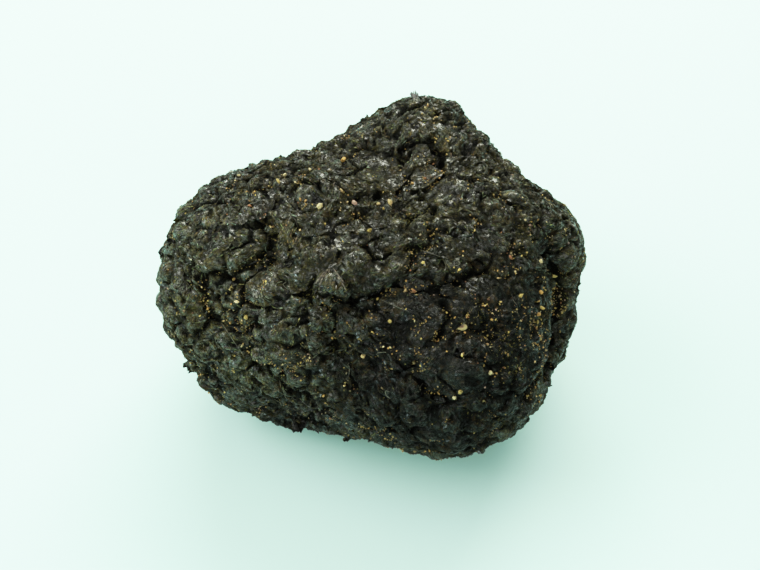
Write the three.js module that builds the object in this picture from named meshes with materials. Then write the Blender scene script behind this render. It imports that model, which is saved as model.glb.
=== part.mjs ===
// A black winter truffle as it comes out of the ground: one solid, lumpy body in a rind of low,
// many-sided warts. Deeper furrows and hollows run between its lobes, and underneath it has one
// small flat spot, where it grew against a stone and where it now rests.
//
// Millimetres, +Z up. The origin is under the middle of the body, on the surface it rests on.

import * as THREE from "three";
import { ConvexHull } from "three/addons/math/ConvexHull.js";

const point = (x, y, z) => new THREE.Vector3(x, y, z);

// Points below are given about the heart; the finished body is moved so that its bounding box is
// centred on the origin. Every point of the rind is reached from the heart along one ray.
const HEART = point(0, 0, 18);

// The lobes that the body swelled into, and how softly they run into each other.
const LOBE_BLEND = 3.5;
const LOBES = [
  { name: "core", centre: point(0, -1, 18), radii: point(22, 17, 16) },
  { name: "left shoulder", centre: point(-17, 1.5, 19.5), radii: point(11, 11.7, 10.8) },
  { name: "back left knob", centre: point(-11.5, 7.5, 20.5), radii: point(8.5, 8.5, 8.5) },
  { name: "peak", centre: point(7.2, 16.5, 24.4), radii: point(9.5, 9.5, 10.5) },
  { name: "right shoulder", centre: point(19.3, 1.5, 19), radii: point(10.3, 11.8, 12.7) },
  { name: "front", centre: point(10, -12.3, 15.3), radii: point(12.6, 10.3, 11.3) },
  { name: "front lump", centre: point(10.5, -17, 23.5), radii: point(4.5, 4, 4) },
  { name: "left foot", centre: point(-12.5, -6, 12.8), radii: point(9.5, 8, 9) },
  { name: "sole", centre: point(0.5, -0.5, 9.4), radii: point(11, 9.5, 9) },
];

// Hollows pressed into the body, and how rounded their edges are.
const HOLLOW_BLEND = 2.5;
const HOLLOWS = [
  { name: "right flank", centre: point(38, -18, 21), radii: point(12, 16, 16) },
  { name: "under the peak", centre: point(-3, 36, 6), radii: point(15, 15, 13) },
];

// Furrows deeper than the grooves between warts, each along a line laid on the body.
const FURROW_STEP = 1.2;
const FURROWS = [
  {
    name: "middle",
    depth: 1.7,
    halfWidth: 1.5,
    path: [point(-2, -14, 31), point(5.5, -13, 32), point(12.5, -11, 32), point(14.5, -9.5, 32)],
  },
  {
    name: "middle left",
    depth: 1.1,
    halfWidth: 1.4,
    path: [point(-13.5, -13.5, 29.5), point(-7.5, -14, 31), point(-2, -14, 31)],
  },
  {
    name: "front",
    depth: 2.2,
    halfWidth: 1.6,
    path: [point(14.5, -16, 28), point(10, -17, 29), point(6.5, -20, 26), point(10, -23, 22.5)],
  },
  {
    name: "front left",
    depth: 1.3,
    halfWidth: 1.4,
    path: [point(-3, -18, 25.5), point(0.5, -19, 25), point(6.5, -20, 25.5)],
  },
  {
    name: "under the plate",
    depth: 1.3,
    halfWidth: 1.3,
    path: [point(2, -16.5, 30), point(7.5, -17, 29.5), point(10, -17, 28.5)],
  },
  {
    name: "left",
    depth: 1.4,
    halfWidth: 1.6,
    path: [point(-21, -9, 28.5), point(-19, -9.5, 30.5), point(-13.5, -8.5, 32.5)],
  },
  {
    name: "left ring",
    depth: 1.5,
    halfWidth: 1.4,
    path: [point(-21.5, -9.5, 28), point(-21, -11.5, 26), point(-17, -14.5, 25), point(-15, -17, 20.5)],
  },
  {
    name: "upper",
    depth: 1.4,
    halfWidth: 1.4,
    path: [point(-4, -3.5, 36.5), point(2, -1.5, 36.5), point(6.5, -2, 36.5)],
  },
  {
    name: "peak cleft left",
    depth: 1.7,
    halfWidth: 1.4,
    path: [point(3, 8, 34), point(4.5, 2.5, 36), point(6.5, -2, 36.5)],
  },
  {
    name: "peak cleft right",
    depth: 1.4,
    halfWidth: 1.4,
    path: [point(9, 9.5, 34.5), point(9.5, 3.5, 36.5), point(6.5, -2, 36.5)],
  },
  {
    name: "rim",
    depth: 2.8,
    halfWidth: 1.8,
    path: [point(23, -3.5, 30), point(26, -5, 26), point(26, -8, 20.5), point(24, -13, 18)],
  },
  {
    name: "back seam",
    depth: 1.8,
    halfWidth: 1.7,
    path: [point(-17, 13, 30), point(-9, 18, 25), point(-1, 24, 20), point(6, 27, 13), point(12, 20, 6)],
  },
  {
    name: "back fork",
    depth: 1.5,
    halfWidth: 1.5,
    path: [point(-9, 18, 25), point(-13, 17, 16), point(-9, 14, 7)],
  },
  {
    name: "back right",
    depth: 1.7,
    halfWidth: 1.6,
    path: [point(15, 17, 30), point(20, 12, 24), point(24, 12, 16), point(20, 12, 8)],
  },
  {
    name: "left seam",
    depth: 1.6,
    halfWidth: 1.5,
    path: [point(-24, 6, 28), point(-28, 1, 22), point(-28, -2, 15), point(-20, -4, 6)],
  },
  {
    name: "under left",
    depth: 1.4,
    halfWidth: 1.5,
    path: [point(-20, -4, 6), point(-14, 4, 4), point(-4, 12, 4)],
  },
  {
    name: "under right",
    depth: 1.4,
    halfWidth: 1.5,
    path: [point(29, 2, 18), point(24, -3, 9), point(16, -12, 5)],
  },
];

// Gentle waves that keep the lobes from being true ellipsoids.
const SWELL = { height: 0.6, length: 13, count: 9 };

// Great warts that stand out, where they sit, how wide they are and how high.
const GREAT_WARTS = [
  { name: "front lump", at: point(11, -19.5, 26), width: 6.5, height: 1.3 },
  { name: "plate", at: point(4.5, -14.5, 30.5), width: 5.6, height: 1 },
  { name: "lower front", at: point(9.5, -23.5, 19.5), width: 5.6, height: 1.2 },
  { name: "chin", at: point(6, -24.5, 13), width: 5.2, height: 1.2 },
  { name: "cheek", at: point(-14, -11, 30.5), width: 5.4, height: 1.1 },
  { name: "striated", at: point(-5, -13, 32), width: 5, height: 1.1 },
  { name: "flat", at: point(-9, -11, 32.5), width: 5, height: 0.9 },
  { name: "saddle", at: point(-8, 0, 35), width: 5.2, height: 0.8 },
  { name: "peak's foot", at: point(7, 8, 34), width: 5, height: 1.4 },
  { name: "peak's front", at: point(6.5, 3, 34.5), width: 4.6, height: 1.3 },
  { name: "peak's top", at: point(6, 15, 36), width: 5.2, height: 1 },
  { name: "shoulder", at: point(17, -1, 34), width: 5.2, height: 1 },
  { name: "low left", at: point(-21, -15, 16), width: 5, height: 1.3 },
  { name: "low left foot", at: point(-18.5, -16, 11), width: 4.8, height: 1.2 },
  { name: "back cheek", at: point(-13, 15, 20), width: 6, height: 1.2 },
  { name: "back right", at: point(18, 16, 20), width: 5.8, height: 1.2 },
];

// Common warts, narrow ones being the more common: how wide, how close to each other in shares of
// their widths, how high, and how far out the rim of a wart's top is on the way to its corners.
const WART_WIDTH = { least: 2.7, most: 5 };
const WART_NARROWING = 1.4;
const WART_SPACING = 0.42;
const WART_TRIES = 30000;
const WART_HEIGHT = { least: 0.6, most: 1.2 };
const RIM_SHARE = { least: 0.48, most: 0.74 };
const RIM_RAGGEDNESS = { least: 0.86, most: 1.14 };
const RIM_UNEVENNESS = { least: 0.75, most: 1.2 };
const CROWN_RISE = { least: -0.04, most: 0.1 };
const CROWN_SHIFT = 0.12;
const WART_TILT = 0.3;

// Warts that line a furrow: how far apart along it and how far beside it, in shares of their width.
const BANK_STRIDE = { least: 0.85, most: 1.3 };
const BANK_OFFSET = { least: 0.4, most: 0.7 };

// How far soil or growth fills a groove's corners, and how the relief fades and strengthens.
const GROOVE_FILL = { least: 0, most: 0.35 };
const RELIEF = { height: 0.25, length: 24, count: 5 };

const SEED = 7;

// A repeatable random number from 0 to 1.
function makeRandom(seed) {
  let state = seed >>> 0;
  return () => {
    state = (state + 0x6d2b79f5) >>> 0;
    let mixed = Math.imul(state ^ (state >>> 15), state | 1);
    mixed = (mixed + Math.imul(mixed ^ (mixed >>> 7), mixed | 61)) ^ mixed;
    return ((mixed ^ (mixed >>> 14)) >>> 0) / 4294967296;
  };
}

const random = makeRandom(SEED);
const between = ({ least, most }) => least + (most - least) * random();

// A direction drawn evenly from the whole sphere.
function randomDirection() {
  const height = 2 * random() - 1;
  const turn = 2 * Math.PI * random();
  const reach = Math.sqrt(1 - height * height);
  return point(reach * Math.cos(turn), reach * Math.sin(turn), height);
}

const directionTo = (at) => at.clone().sub(HEART).normalize();
const alongRay = (direction, reach) => HEART.clone().addScaledVector(direction, reach);

// A smooth bumpy function of place, about as high and as long as it says.
function makeWaves({ height, length, count }) {
  const waves = Array.from({ length: count }, () => ({
    along: randomDirection().multiplyScalar((2 * Math.PI) / (length * (0.8 + random()))),
    phase: 2 * Math.PI * random(),
  }));
  const share = height / Math.sqrt(count);
  return (at) => waves.reduce((sum, { along, phase }) => sum + share * Math.sin(along.dot(at) + phase), 0);
}

const swell = makeWaves(SWELL);
const relief = makeWaves(RELIEF);

// Distance to an ellipsoid, true near its surface, and negative inside it.
function ellipsoidDistance(at, { centre, radii }) {
  const scaled = at.clone().sub(centre).divide(radii);
  const reach = scaled.length();
  return (reach * (reach - 1)) / Math.max(scaled.divide(radii).length(), 1e-6);
}

// Distance to the smooth body without its warts and furrows.
function bodyDistance(at) {
  const inLobes = LOBES.reduce((sum, lobe) => sum + Math.exp(-ellipsoidDistance(at, lobe) / LOBE_BLEND), 0);
  const lobed = -LOBE_BLEND * Math.log(inLobes);
  const hollowed = HOLLOWS.reduce(
    (sum, hollow) => sum + Math.exp(-ellipsoidDistance(at, hollow) / HOLLOW_BLEND),
    Math.exp(lobed / HOLLOW_BLEND),
  );
  return HOLLOW_BLEND * Math.log(hollowed) - swell(at);
}

// How far the smooth body is from the heart along a direction.
const FARTHEST = 60;
const HALVINGS = 26;
function bodyReach(direction) {
  let inside = 1;
  let outside = FARTHEST;
  for (let i = 0; i < HALVINGS; i++) {
    const middle = (inside + outside) / 2;
    if (bodyDistance(alongRay(direction, middle)) < 0) inside = middle;
    else outside = middle;
  }
  return inside;
}

// Each furrow's line, laid on the smooth body in short steps.
const furrowLines = FURROWS.map(({ depth, halfWidth, path }) => {
  const curve = new THREE.CatmullRomCurve3(path);
  const steps = Math.ceil(curve.getLength() / FURROW_STEP);
  const line = curve.getPoints(steps).map((at) => alongRay(directionTo(at), bodyReach(directionTo(at))));
  return { depth, halfWidth, line };
});

// How much the furrows take off at a point.
function furrowDepth(at) {
  let deepest = 0;
  for (const { depth, halfWidth, line } of furrowLines) {
    for (let i = 1; i < line.length; i++) {
      const nearest = new THREE.Line3(line[i - 1], line[i]).closestPointToPoint(at, true, point(0, 0, 0));
      deepest = Math.max(deepest, depth * Math.exp(-((nearest.distanceTo(at) / halfWidth) ** 2)));
    }
  }
  return deepest;
}

// How far the groove floor is from the heart along a direction.
function reachAlong(direction) {
  const reach = bodyReach(direction);
  return reach - furrowDepth(alongRay(direction, reach));
}

// A point of the rind that far over the groove floor, pressed flat where it would reach below
// the surface that the truffle rests on.
function onRind(direction, height) {
  const at = alongRay(direction, reachAlong(direction) + height);
  at.z = Math.max(at.z, 0);
  return at;
}

// Wart middles, kept apart by their own widths: the great warts, then ragged rows along both banks
// of each furrow, so that furrows run between warts, then as many as still fit in between.
function placeWarts() {
  const warts = [];
  const tryAt = (direction, width, height) => {
    const middle = alongRay(direction, reachAlong(direction));
    const clear = ({ middle: other, width: theirs }) =>
      middle.distanceTo(other) > WART_SPACING * (width + theirs);
    if (warts.every(clear)) warts.push({ direction, middle, width, height });
  };
  const commonWidth = () =>
    WART_WIDTH.least + (WART_WIDTH.most - WART_WIDTH.least) * random() ** WART_NARROWING;
  for (const { at, width, height } of GREAT_WARTS) tryAt(directionTo(at), width, height);
  for (const { line } of furrowLines) {
    const curve = new THREE.CatmullRomCurve3(line);
    const length = curve.getLength();
    for (const side of [-1, 1]) {
      let travelled = WART_WIDTH.least * random();
      while (travelled < length) {
        const width = commonWidth();
        const at = curve.getPointAt(travelled / length);
        const sideways = curve.getTangentAt(travelled / length).cross(directionTo(at)).normalize();
        at.addScaledVector(sideways, side * width * between(BANK_OFFSET));
        tryAt(directionTo(at), width, between(WART_HEIGHT));
        travelled += width * between(BANK_STRIDE);
      }
    }
  }
  for (let i = 0; i < WART_TRIES; i++) tryAt(randomDirection(), commonWidth(), between(WART_HEIGHT));
  return warts;
}

// The grooves' corners, one amid each three neighbouring warts and farther from the wider ones, and
// the ring of corners that goes round each wart.
function grooveCorners(warts) {
  const hull = new ConvexHull().setFromPoints(warts.map((wart) => wart.direction));
  const indexOf = new Map(warts.map((wart, i) => [wart.direction, i]));
  const spokes = warts.map(() => new Map());
  const corners = hull.faces.map((face, corner) => {
    const trio = [0, 1, 2].map((i) => indexOf.get(face.getEdge(i).head().point));
    trio.forEach((wart, i) => spokes[wart].set(trio[(i + 1) % 3], { corner, next: trio[(i + 2) % 3] }));
    const shares = trio.map((wart) => 1 / warts[wart].width);
    const whole = shares.reduce((sum, share) => sum + share);
    const amid = point(0, 0, 0);
    trio.forEach((wart, i) => amid.addScaledVector(warts[wart].middle, shares[i] / whole));
    return directionTo(amid);
  });
  const rings = spokes.map((spoke) => {
    const first = spoke.keys().next().value;
    const ring = [];
    let neighbour = first;
    do {
      ring.push(spoke.get(neighbour).corner);
      neighbour = spoke.get(neighbour).next;
    } while (neighbour !== first);
    return ring;
  });
  return { corners, rings };
}

// Each wart is a band that climbs from its ring of corners to the rim of its top, and a fan from
// that rim to its crown.
function truffleGeometry() {
  const warts = placeWarts();
  const { corners, rings } = grooveCorners(warts);
  const vertices = corners.map((corner) => onRind(corner, between(GROOVE_FILL)));
  const faces = [];
  const add = (at, height) => vertices.push(onRind(directionTo(at), height)) - 1;
  warts.forEach(({ middle, width, height }, w) => {
    const rise = height * (1 + relief(middle));
    const rimShare = between(RIM_SHARE);
    const lean = randomDirection().multiplyScalar(WART_TILT * random());
    const rim = rings[w].map((corner) => {
      const away = vertices[corner].clone().sub(middle).multiplyScalar(rimShare * between(RIM_RAGGEDNESS));
      return add(middle.clone().add(away), rise * between(RIM_UNEVENNESS) + lean.dot(away));
    });
    const shift = randomDirection().multiplyScalar(CROWN_SHIFT * width);
    const crown = add(middle.clone().add(shift), rise + between(CROWN_RISE) * width);
    rings[w].forEach((corner, i) => {
      const j = (i + 1) % rim.length;
      faces.push(corner, rings[w][j], rim[j], corner, rim[j], rim[i], rim[i], rim[j], crown);
    });
  });
  const geometry = new THREE.BufferGeometry();
  const places = vertices.flatMap((vertex) => vertex.toArray());
  geometry.setAttribute("position", new THREE.Float32BufferAttribute(places, 3));
  geometry.setIndex(faces);
  geometry.computeBoundingBox();
  const middle = geometry.boundingBox.getCenter(point(0, 0, 0));
  geometry.translate(-middle.x, -middle.y, 0);
  geometry.computeVertexNormals();
  return geometry;
}

const rind = new THREE.MeshStandardMaterial({ color: 0x2b2622, roughness: 0.6, metalness: 0 });
const body = new THREE.Mesh(truffleGeometry(), rind);
body.name = "truffle";

const truffle = new THREE.Group();
truffle.add(body);

export default truffle;
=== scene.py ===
import math

import bmesh
import bpy
import numpy as np
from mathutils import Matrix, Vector, noise
from mathutils.bvhtree import BVHTree
from mathutils.kdtree import KDTree


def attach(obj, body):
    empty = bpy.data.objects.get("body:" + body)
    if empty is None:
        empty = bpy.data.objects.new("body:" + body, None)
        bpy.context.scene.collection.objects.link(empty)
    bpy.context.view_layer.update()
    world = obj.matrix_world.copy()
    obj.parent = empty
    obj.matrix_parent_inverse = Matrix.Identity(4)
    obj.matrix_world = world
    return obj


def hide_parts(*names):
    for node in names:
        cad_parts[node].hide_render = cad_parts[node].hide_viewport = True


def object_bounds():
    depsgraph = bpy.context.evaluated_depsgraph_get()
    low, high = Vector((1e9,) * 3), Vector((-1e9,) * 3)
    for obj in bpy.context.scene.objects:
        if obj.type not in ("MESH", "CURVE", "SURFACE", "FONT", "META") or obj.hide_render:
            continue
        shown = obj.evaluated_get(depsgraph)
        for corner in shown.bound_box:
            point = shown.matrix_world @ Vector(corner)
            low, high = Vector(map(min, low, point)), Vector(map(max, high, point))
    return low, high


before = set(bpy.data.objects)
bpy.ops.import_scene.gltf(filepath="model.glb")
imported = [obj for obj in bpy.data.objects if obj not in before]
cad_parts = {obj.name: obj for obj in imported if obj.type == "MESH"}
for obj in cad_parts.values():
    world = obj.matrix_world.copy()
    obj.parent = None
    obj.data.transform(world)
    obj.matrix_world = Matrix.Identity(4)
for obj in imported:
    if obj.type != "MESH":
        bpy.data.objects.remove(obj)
cadLow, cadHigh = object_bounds()
scene = bpy.context.scene
mm = 0.001
boxLow, boxHigh = np.array(cadLow) / mm, np.array(cadHigh) / mm     # the body's reach, in mm


def meshArrays(mesh):
    points = np.empty(len(mesh.vertices) * 3)
    mesh.vertices.foreach_get("co", points)
    normals = np.empty(len(mesh.vertices) * 3)
    mesh.vertices.foreach_get("normal", normals)
    return points.reshape(-1, 3), normals.reshape(-1, 3)


def edgesOf(mesh):
    return np.array([tuple(e.vertices) for e in mesh.edges])


def setPoints(mesh, points):
    mesh.vertices.foreach_set("co", points.astype(np.float32).ravel())
    mesh.update()


def newPiece(name, points, faces, material, smooth=True):
    mesh = bpy.data.meshes.new(name)
    mesh.from_pydata([tuple(p) for p in points], [], [tuple(f) for f in faces])
    mesh.polygons.foreach_set("use_smooth", [smooth] * len(mesh.polygons))
    mesh.materials.append(material)
    mesh.update()
    piece = bpy.data.objects.new(name, mesh)
    scene.collection.objects.link(piece)
    return piece


def readFloat(mesh, name):
    values = np.empty(len(mesh.vertices))
    mesh.attributes[name].data.foreach_get("value", values)
    return values


def readVector(mesh, name):
    values = np.empty(len(mesh.vertices) * 3)
    mesh.attributes[name].data.foreach_get("vector", values)
    return values.reshape(-1, 3)


def storeFloats(mesh, layers):  # layers: attribute name to a value for each point
    for name, values in layers.items():
        mesh.attributes.new(name, "FLOAT", "POINT").data.foreach_set("value", values.astype(np.float32))


def storeVector(mesh, name, vectors):
    layer = mesh.attributes.new(name, "FLOAT_VECTOR", "POINT")
    layer.data.foreach_set("vector", vectors.astype(np.float32).ravel())


def storeTint(mesh, colours, gloss):  # the gloss, from 0 to 1, rides in the tint's alpha
    tint = mesh.attributes.new("tint", "FLOAT_COLOR", "POINT")
    tint.data.foreach_set("color", np.column_stack([colours, gloss]).astype(np.float32).ravel())


def unit(vectors):
    return vectors / np.maximum(np.linalg.norm(vectors, axis=-1, keepdims=True), 1e-12)


def bell(values, width):
    return np.exp(-((values / width) ** 2))


def levelled(along, facing):  # unit vectors that lie along the skin
    return unit(along - facing * (along * facing).sum(1, keepdims=True))


def insideBox(points):  # whether each of many small shapes lies within the body's reach
    return ((points > boxLow) & (points < boxHigh)).all((1, 2))


def repeatedFaces(faces, size, count):  # the faces of one small shape of size points, for count of them
    return (np.array(faces)[None] + size * np.arange(count)[:, None, None]).reshape(-1, len(faces[0]))


def noiseAt(points, size, shift=0.0):  # smooth, from about -0.7 to 0.7, with waves about size apart
    return np.array([noise.noise(p) for p in (points / size + shift).tolist()])


def ridgesAt(points, size, shift=0.0, octaves=3):  # sharp crests, from about 0 to 1
    places = (points / size + shift).tolist()
    return np.array([noise.ridged_multi_fractal(p, 0.9, 2.1, octaves, 1.0, 2.0) for p in places]) / 2.2


def drift(points, size, shift=0.0):  # a noise of its own for each direction
    return np.stack([noiseAt(points, size, shift + apart) for apart in (9.3, 31.7, 67.1)], 1) * 1.3


def cracksAt(points, size, shift=0.0):  # 0 on the cracks between cells about size wide, more inside them
    cells = [noise.voronoi(p)[0] for p in (points / size + shift).tolist()]
    return np.array([found[1] - found[0] for found in cells]) * size


# cells about size wide: each point's offset from the middle of its cell, and the cell's own random numbers
def platesAt(points, size, shift=0.0):
    places = (points / size + shift).tolist()
    centres = np.array([tuple(noise.voronoi(p)[1][0]) for p in places])
    hashes = np.array([noise.cell_vector(c) for c in (centres * 37.7).tolist()])
    return (np.array(places) - centres) * size, hashes


def patchesAt(points, size, shift, level, contrast, least=0.0):  # smooth patches, from least to 1
    return np.clip(level + contrast * noiseAt(points, size, shift), least, 1)


def addNode(tree, kind, inputs=None, **settings):  # inputs: socket name or number to a value or an output
    node = tree.nodes.new(kind)
    node.location = (180 * len(tree.nodes), 0)
    for key, value in settings.items():
        setattr(node, key, value)
    for key, value in (inputs or {}).items():
        if isinstance(value, bpy.types.NodeSocket):
            tree.links.new(value, node.inputs[key])
        else:
            node.inputs[key].default_value = value
    return node


def mixColour(tree, factor, first, second, blend="MIX"):
    inputs = {0: factor, 6: first, 7: second}
    return addNode(tree, "ShaderNodeMix", inputs, data_type="RGBA", blend_type=blend).outputs[2]


def compute(tree, operation, first, second=0.0, clamp=False):
    inputs = {0: first, 1: second}
    return addNode(tree, "ShaderNodeMath", inputs, operation=operation, use_clamp=clamp).outputs[0]


def times(tree, first, second, clamp=False):
    return compute(tree, "MULTIPLY", first, second, clamp)


def plus(tree, first, second, clamp=False):
    return compute(tree, "ADD", first, second, clamp)


def vectorMath(tree, operation, inputs):
    return addNode(tree, "ShaderNodeVectorMath", inputs, operation=operation).outputs[0]


def remap(tree, value, low, high, toLow=0.0, toHigh=1.0, smooth=True):
    inputs = {"Value": value, "From Min": low, "From Max": high, "To Min": toLow, "To Max": toHigh}
    kind = "SMOOTHSTEP" if smooth else "LINEAR"
    return addNode(tree, "ShaderNodeMapRange", inputs, interpolation_type=kind).outputs["Result"]


def noiseTexture(tree, place, scale, detail, roughness=0.5):
    inputs = {"Vector": place, "Scale": scale, "Detail": detail, "Roughness": roughness}
    return addNode(tree, "ShaderNodeTexNoise", inputs).outputs["Fac"]


def cellTexture(tree, place, scale):
    return addNode(tree, "ShaderNodeTexVoronoi", {"Vector": place, "Scale": scale}, feature="F1").outputs


def placeInMm(tree):  # the object's own coordinates, counted in millimetres
    place = addNode(tree, "ShaderNodeTexCoord").outputs["Object"]
    return vectorMath(tree, "SCALE", {0: place, "Scale": 1 / mm})


def attribute(tree, name, output="Fac"):
    return addNode(tree, "ShaderNodeAttribute", attribute_name=name).outputs[output]


def newGroup(name, inputs, outputs):
    tree = bpy.data.node_groups.new(name, "ShaderNodeTree")
    for direction, sockets in (("INPUT", inputs), ("OUTPUT", outputs)):
        for socketName, kind, value in sockets:
            socket = tree.interface.new_socket(socketName, in_out=direction, socket_type="NodeSocket" + kind)
            if value is not None:
                socket.default_value = value
    return tree, tree.nodes.new("NodeGroupInput").outputs, tree.nodes.new("NodeGroupOutput").inputs


def useGroup(tree, group, inputs=None):
    return addNode(tree, "ShaderNodeGroup", inputs, node_tree=group).outputs


def newMaterial(name):
    material = bpy.data.materials.new(name)
    material.use_nodes = True
    return material, material.node_tree, material.node_tree.nodes["Principled BSDF"]


def buildFineGrain():  # crumbs and pits a fraction of a millimetre wide
    sockets = [("Crumb Size", "Float", 0.5), ("Pit Size", "Float", 0.2), ("Pits", "Float", 0.5)]
    tree, given, out = newGroup("fineGrain", sockets, [("Height", "Float", None), ("Mask", "Float", None)])
    bendsPerMm, bendReach, pitted = 2.6, 0.7, (0.38, 0.62)
    place = placeInMm(tree)
    crumbScale = compute(tree, "DIVIDE", 1.0, given["Crumb Size"])
    bend = addNode(tree, "ShaderNodeTexNoise", {"Vector": place, "Scale": bendsPerMm, "Detail": 2.0})
    bent = vectorMath(tree, "MULTIPLY_ADD", {0: bend.outputs["Color"], 1: (bendReach,) * 3, 2: place})
    dome = compute(tree, "SUBTRACT", 1.0, cellTexture(tree, bent, crumbScale)["Distance"])
    pitScale = compute(tree, "DIVIDE", 1.0, given["Pit Size"])
    pits = noiseTexture(tree, place, pitScale, 3.0, 0.65)
    tree.links.new(plus(tree, dome, times(tree, pits, given["Pits"])), out["Height"])
    tree.links.new(remap(tree, pits, *pitted), out["Mask"])
    return tree


def buildDampFacets():  # tiny faces tilted each its own way, so that a few of them flash
    sockets = [("Facet Size", "Float", 0.3), ("Tilt", "Float", 0.6), ("Normal", "Vector", None)]
    outputs = [("Normal", "Vector", None), ("Mask", "Float", None)]
    tree, given, out = newGroup("dampFacets", sockets, outputs)
    scale = compute(tree, "DIVIDE", 1.0, given["Facet Size"])
    cells = cellTexture(tree, placeInMm(tree), scale)
    centred = vectorMath(tree, "SUBTRACT", {0: cells["Color"], 1: (0.5, 0.5, 0.5)})
    lean = vectorMath(tree, "SCALE", {0: centred, "Scale": given["Tilt"]})
    turned = vectorMath(tree, "ADD", {0: given["Normal"], 1: lean})
    tree.links.new(vectorMath(tree, "NORMALIZE", {0: turned}), out["Normal"])
    tree.links.new(addNode(tree, "ShaderNodeSeparateXYZ", {0: cells["Color"]}).outputs["X"], out["Mask"])
    return tree


def buildSoilDust():  # where fine soil has settled, in patches
    sockets = [("Amount", "Float", 0.5), ("Patch Size", "Float", 6.0), ("Speck Size", "Float", 0.35)]
    tree, given, out = newGroup("soilDust", sockets, [("Mask", "Float", None), ("Specks", "Float", None)])
    filmEdge, speckEdge, patchShare = (0.2, 0.38), (0.96, 1.01), 0.6
    place = placeInMm(tree)
    patchScale = compute(tree, "DIVIDE", 1.0, given["Patch Size"])
    patches = noiseTexture(tree, place, patchScale, 4.0, 0.65)
    speckScale = compute(tree, "DIVIDE", 1.0, given["Speck Size"])
    specks = noiseTexture(tree, place, speckScale, 3.0, 0.7)
    film = remap(tree, times(tree, patches, specks), *filmEdge)
    tree.links.new(times(tree, film, given["Amount"], True), out["Mask"])
    lone = plus(tree, specks, times(tree, patches, patchShare))
    tree.links.new(remap(tree, lone, *speckEdge), out["Specks"])
    return tree


fineGrain = buildFineGrain()
dampFacets = buildDampFacets()
soilDust = buildSoilDust()
print("node groups built")


# camera at the height of someone bending over the table
viewSettings = {
    "elevation": 50.0,      # degrees above the table
    "distance": 0.1515,
    "aim": (0.00096, -0.00021, 0.01732),
    "lens": 50.0,
    "sensor": 36.0,
    "width": 760,
    "height": 570,
}


def makeCamera(s):
    data = bpy.data.cameras.new("overTable")
    data.lens = s["lens"]
    data.sensor_width = s["sensor"]
    data.clip_start, data.clip_end = 0.01, 10.0
    camera = bpy.data.objects.new("overTable", data)
    scene.collection.objects.link(camera)
    tilt = math.radians(s["elevation"])
    back = Vector((0, -math.cos(tilt), math.sin(tilt)))
    camera.location = Vector(s["aim"]) + back * s["distance"]
    camera.rotation_euler = (math.pi / 2 - tilt, 0, 0)
    scene.camera = camera
    return camera


def landOn(tree, across, down, s=viewSettings):  # where the line of sight through a point of the view lands
    reach = s["width"] * s["lens"] / s["sensor"]
    local = Vector(((across - s["width"] / 2) / reach, (s["height"] / 2 - down) / reach, -1.0))
    turn = camera.rotation_euler.to_matrix()
    place, normal, _, _ = tree.ray_cast(camera.location, (turn @ local).normalized())
    return place, normal


camera = makeCamera(viewSettings)
print("camera set")


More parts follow.
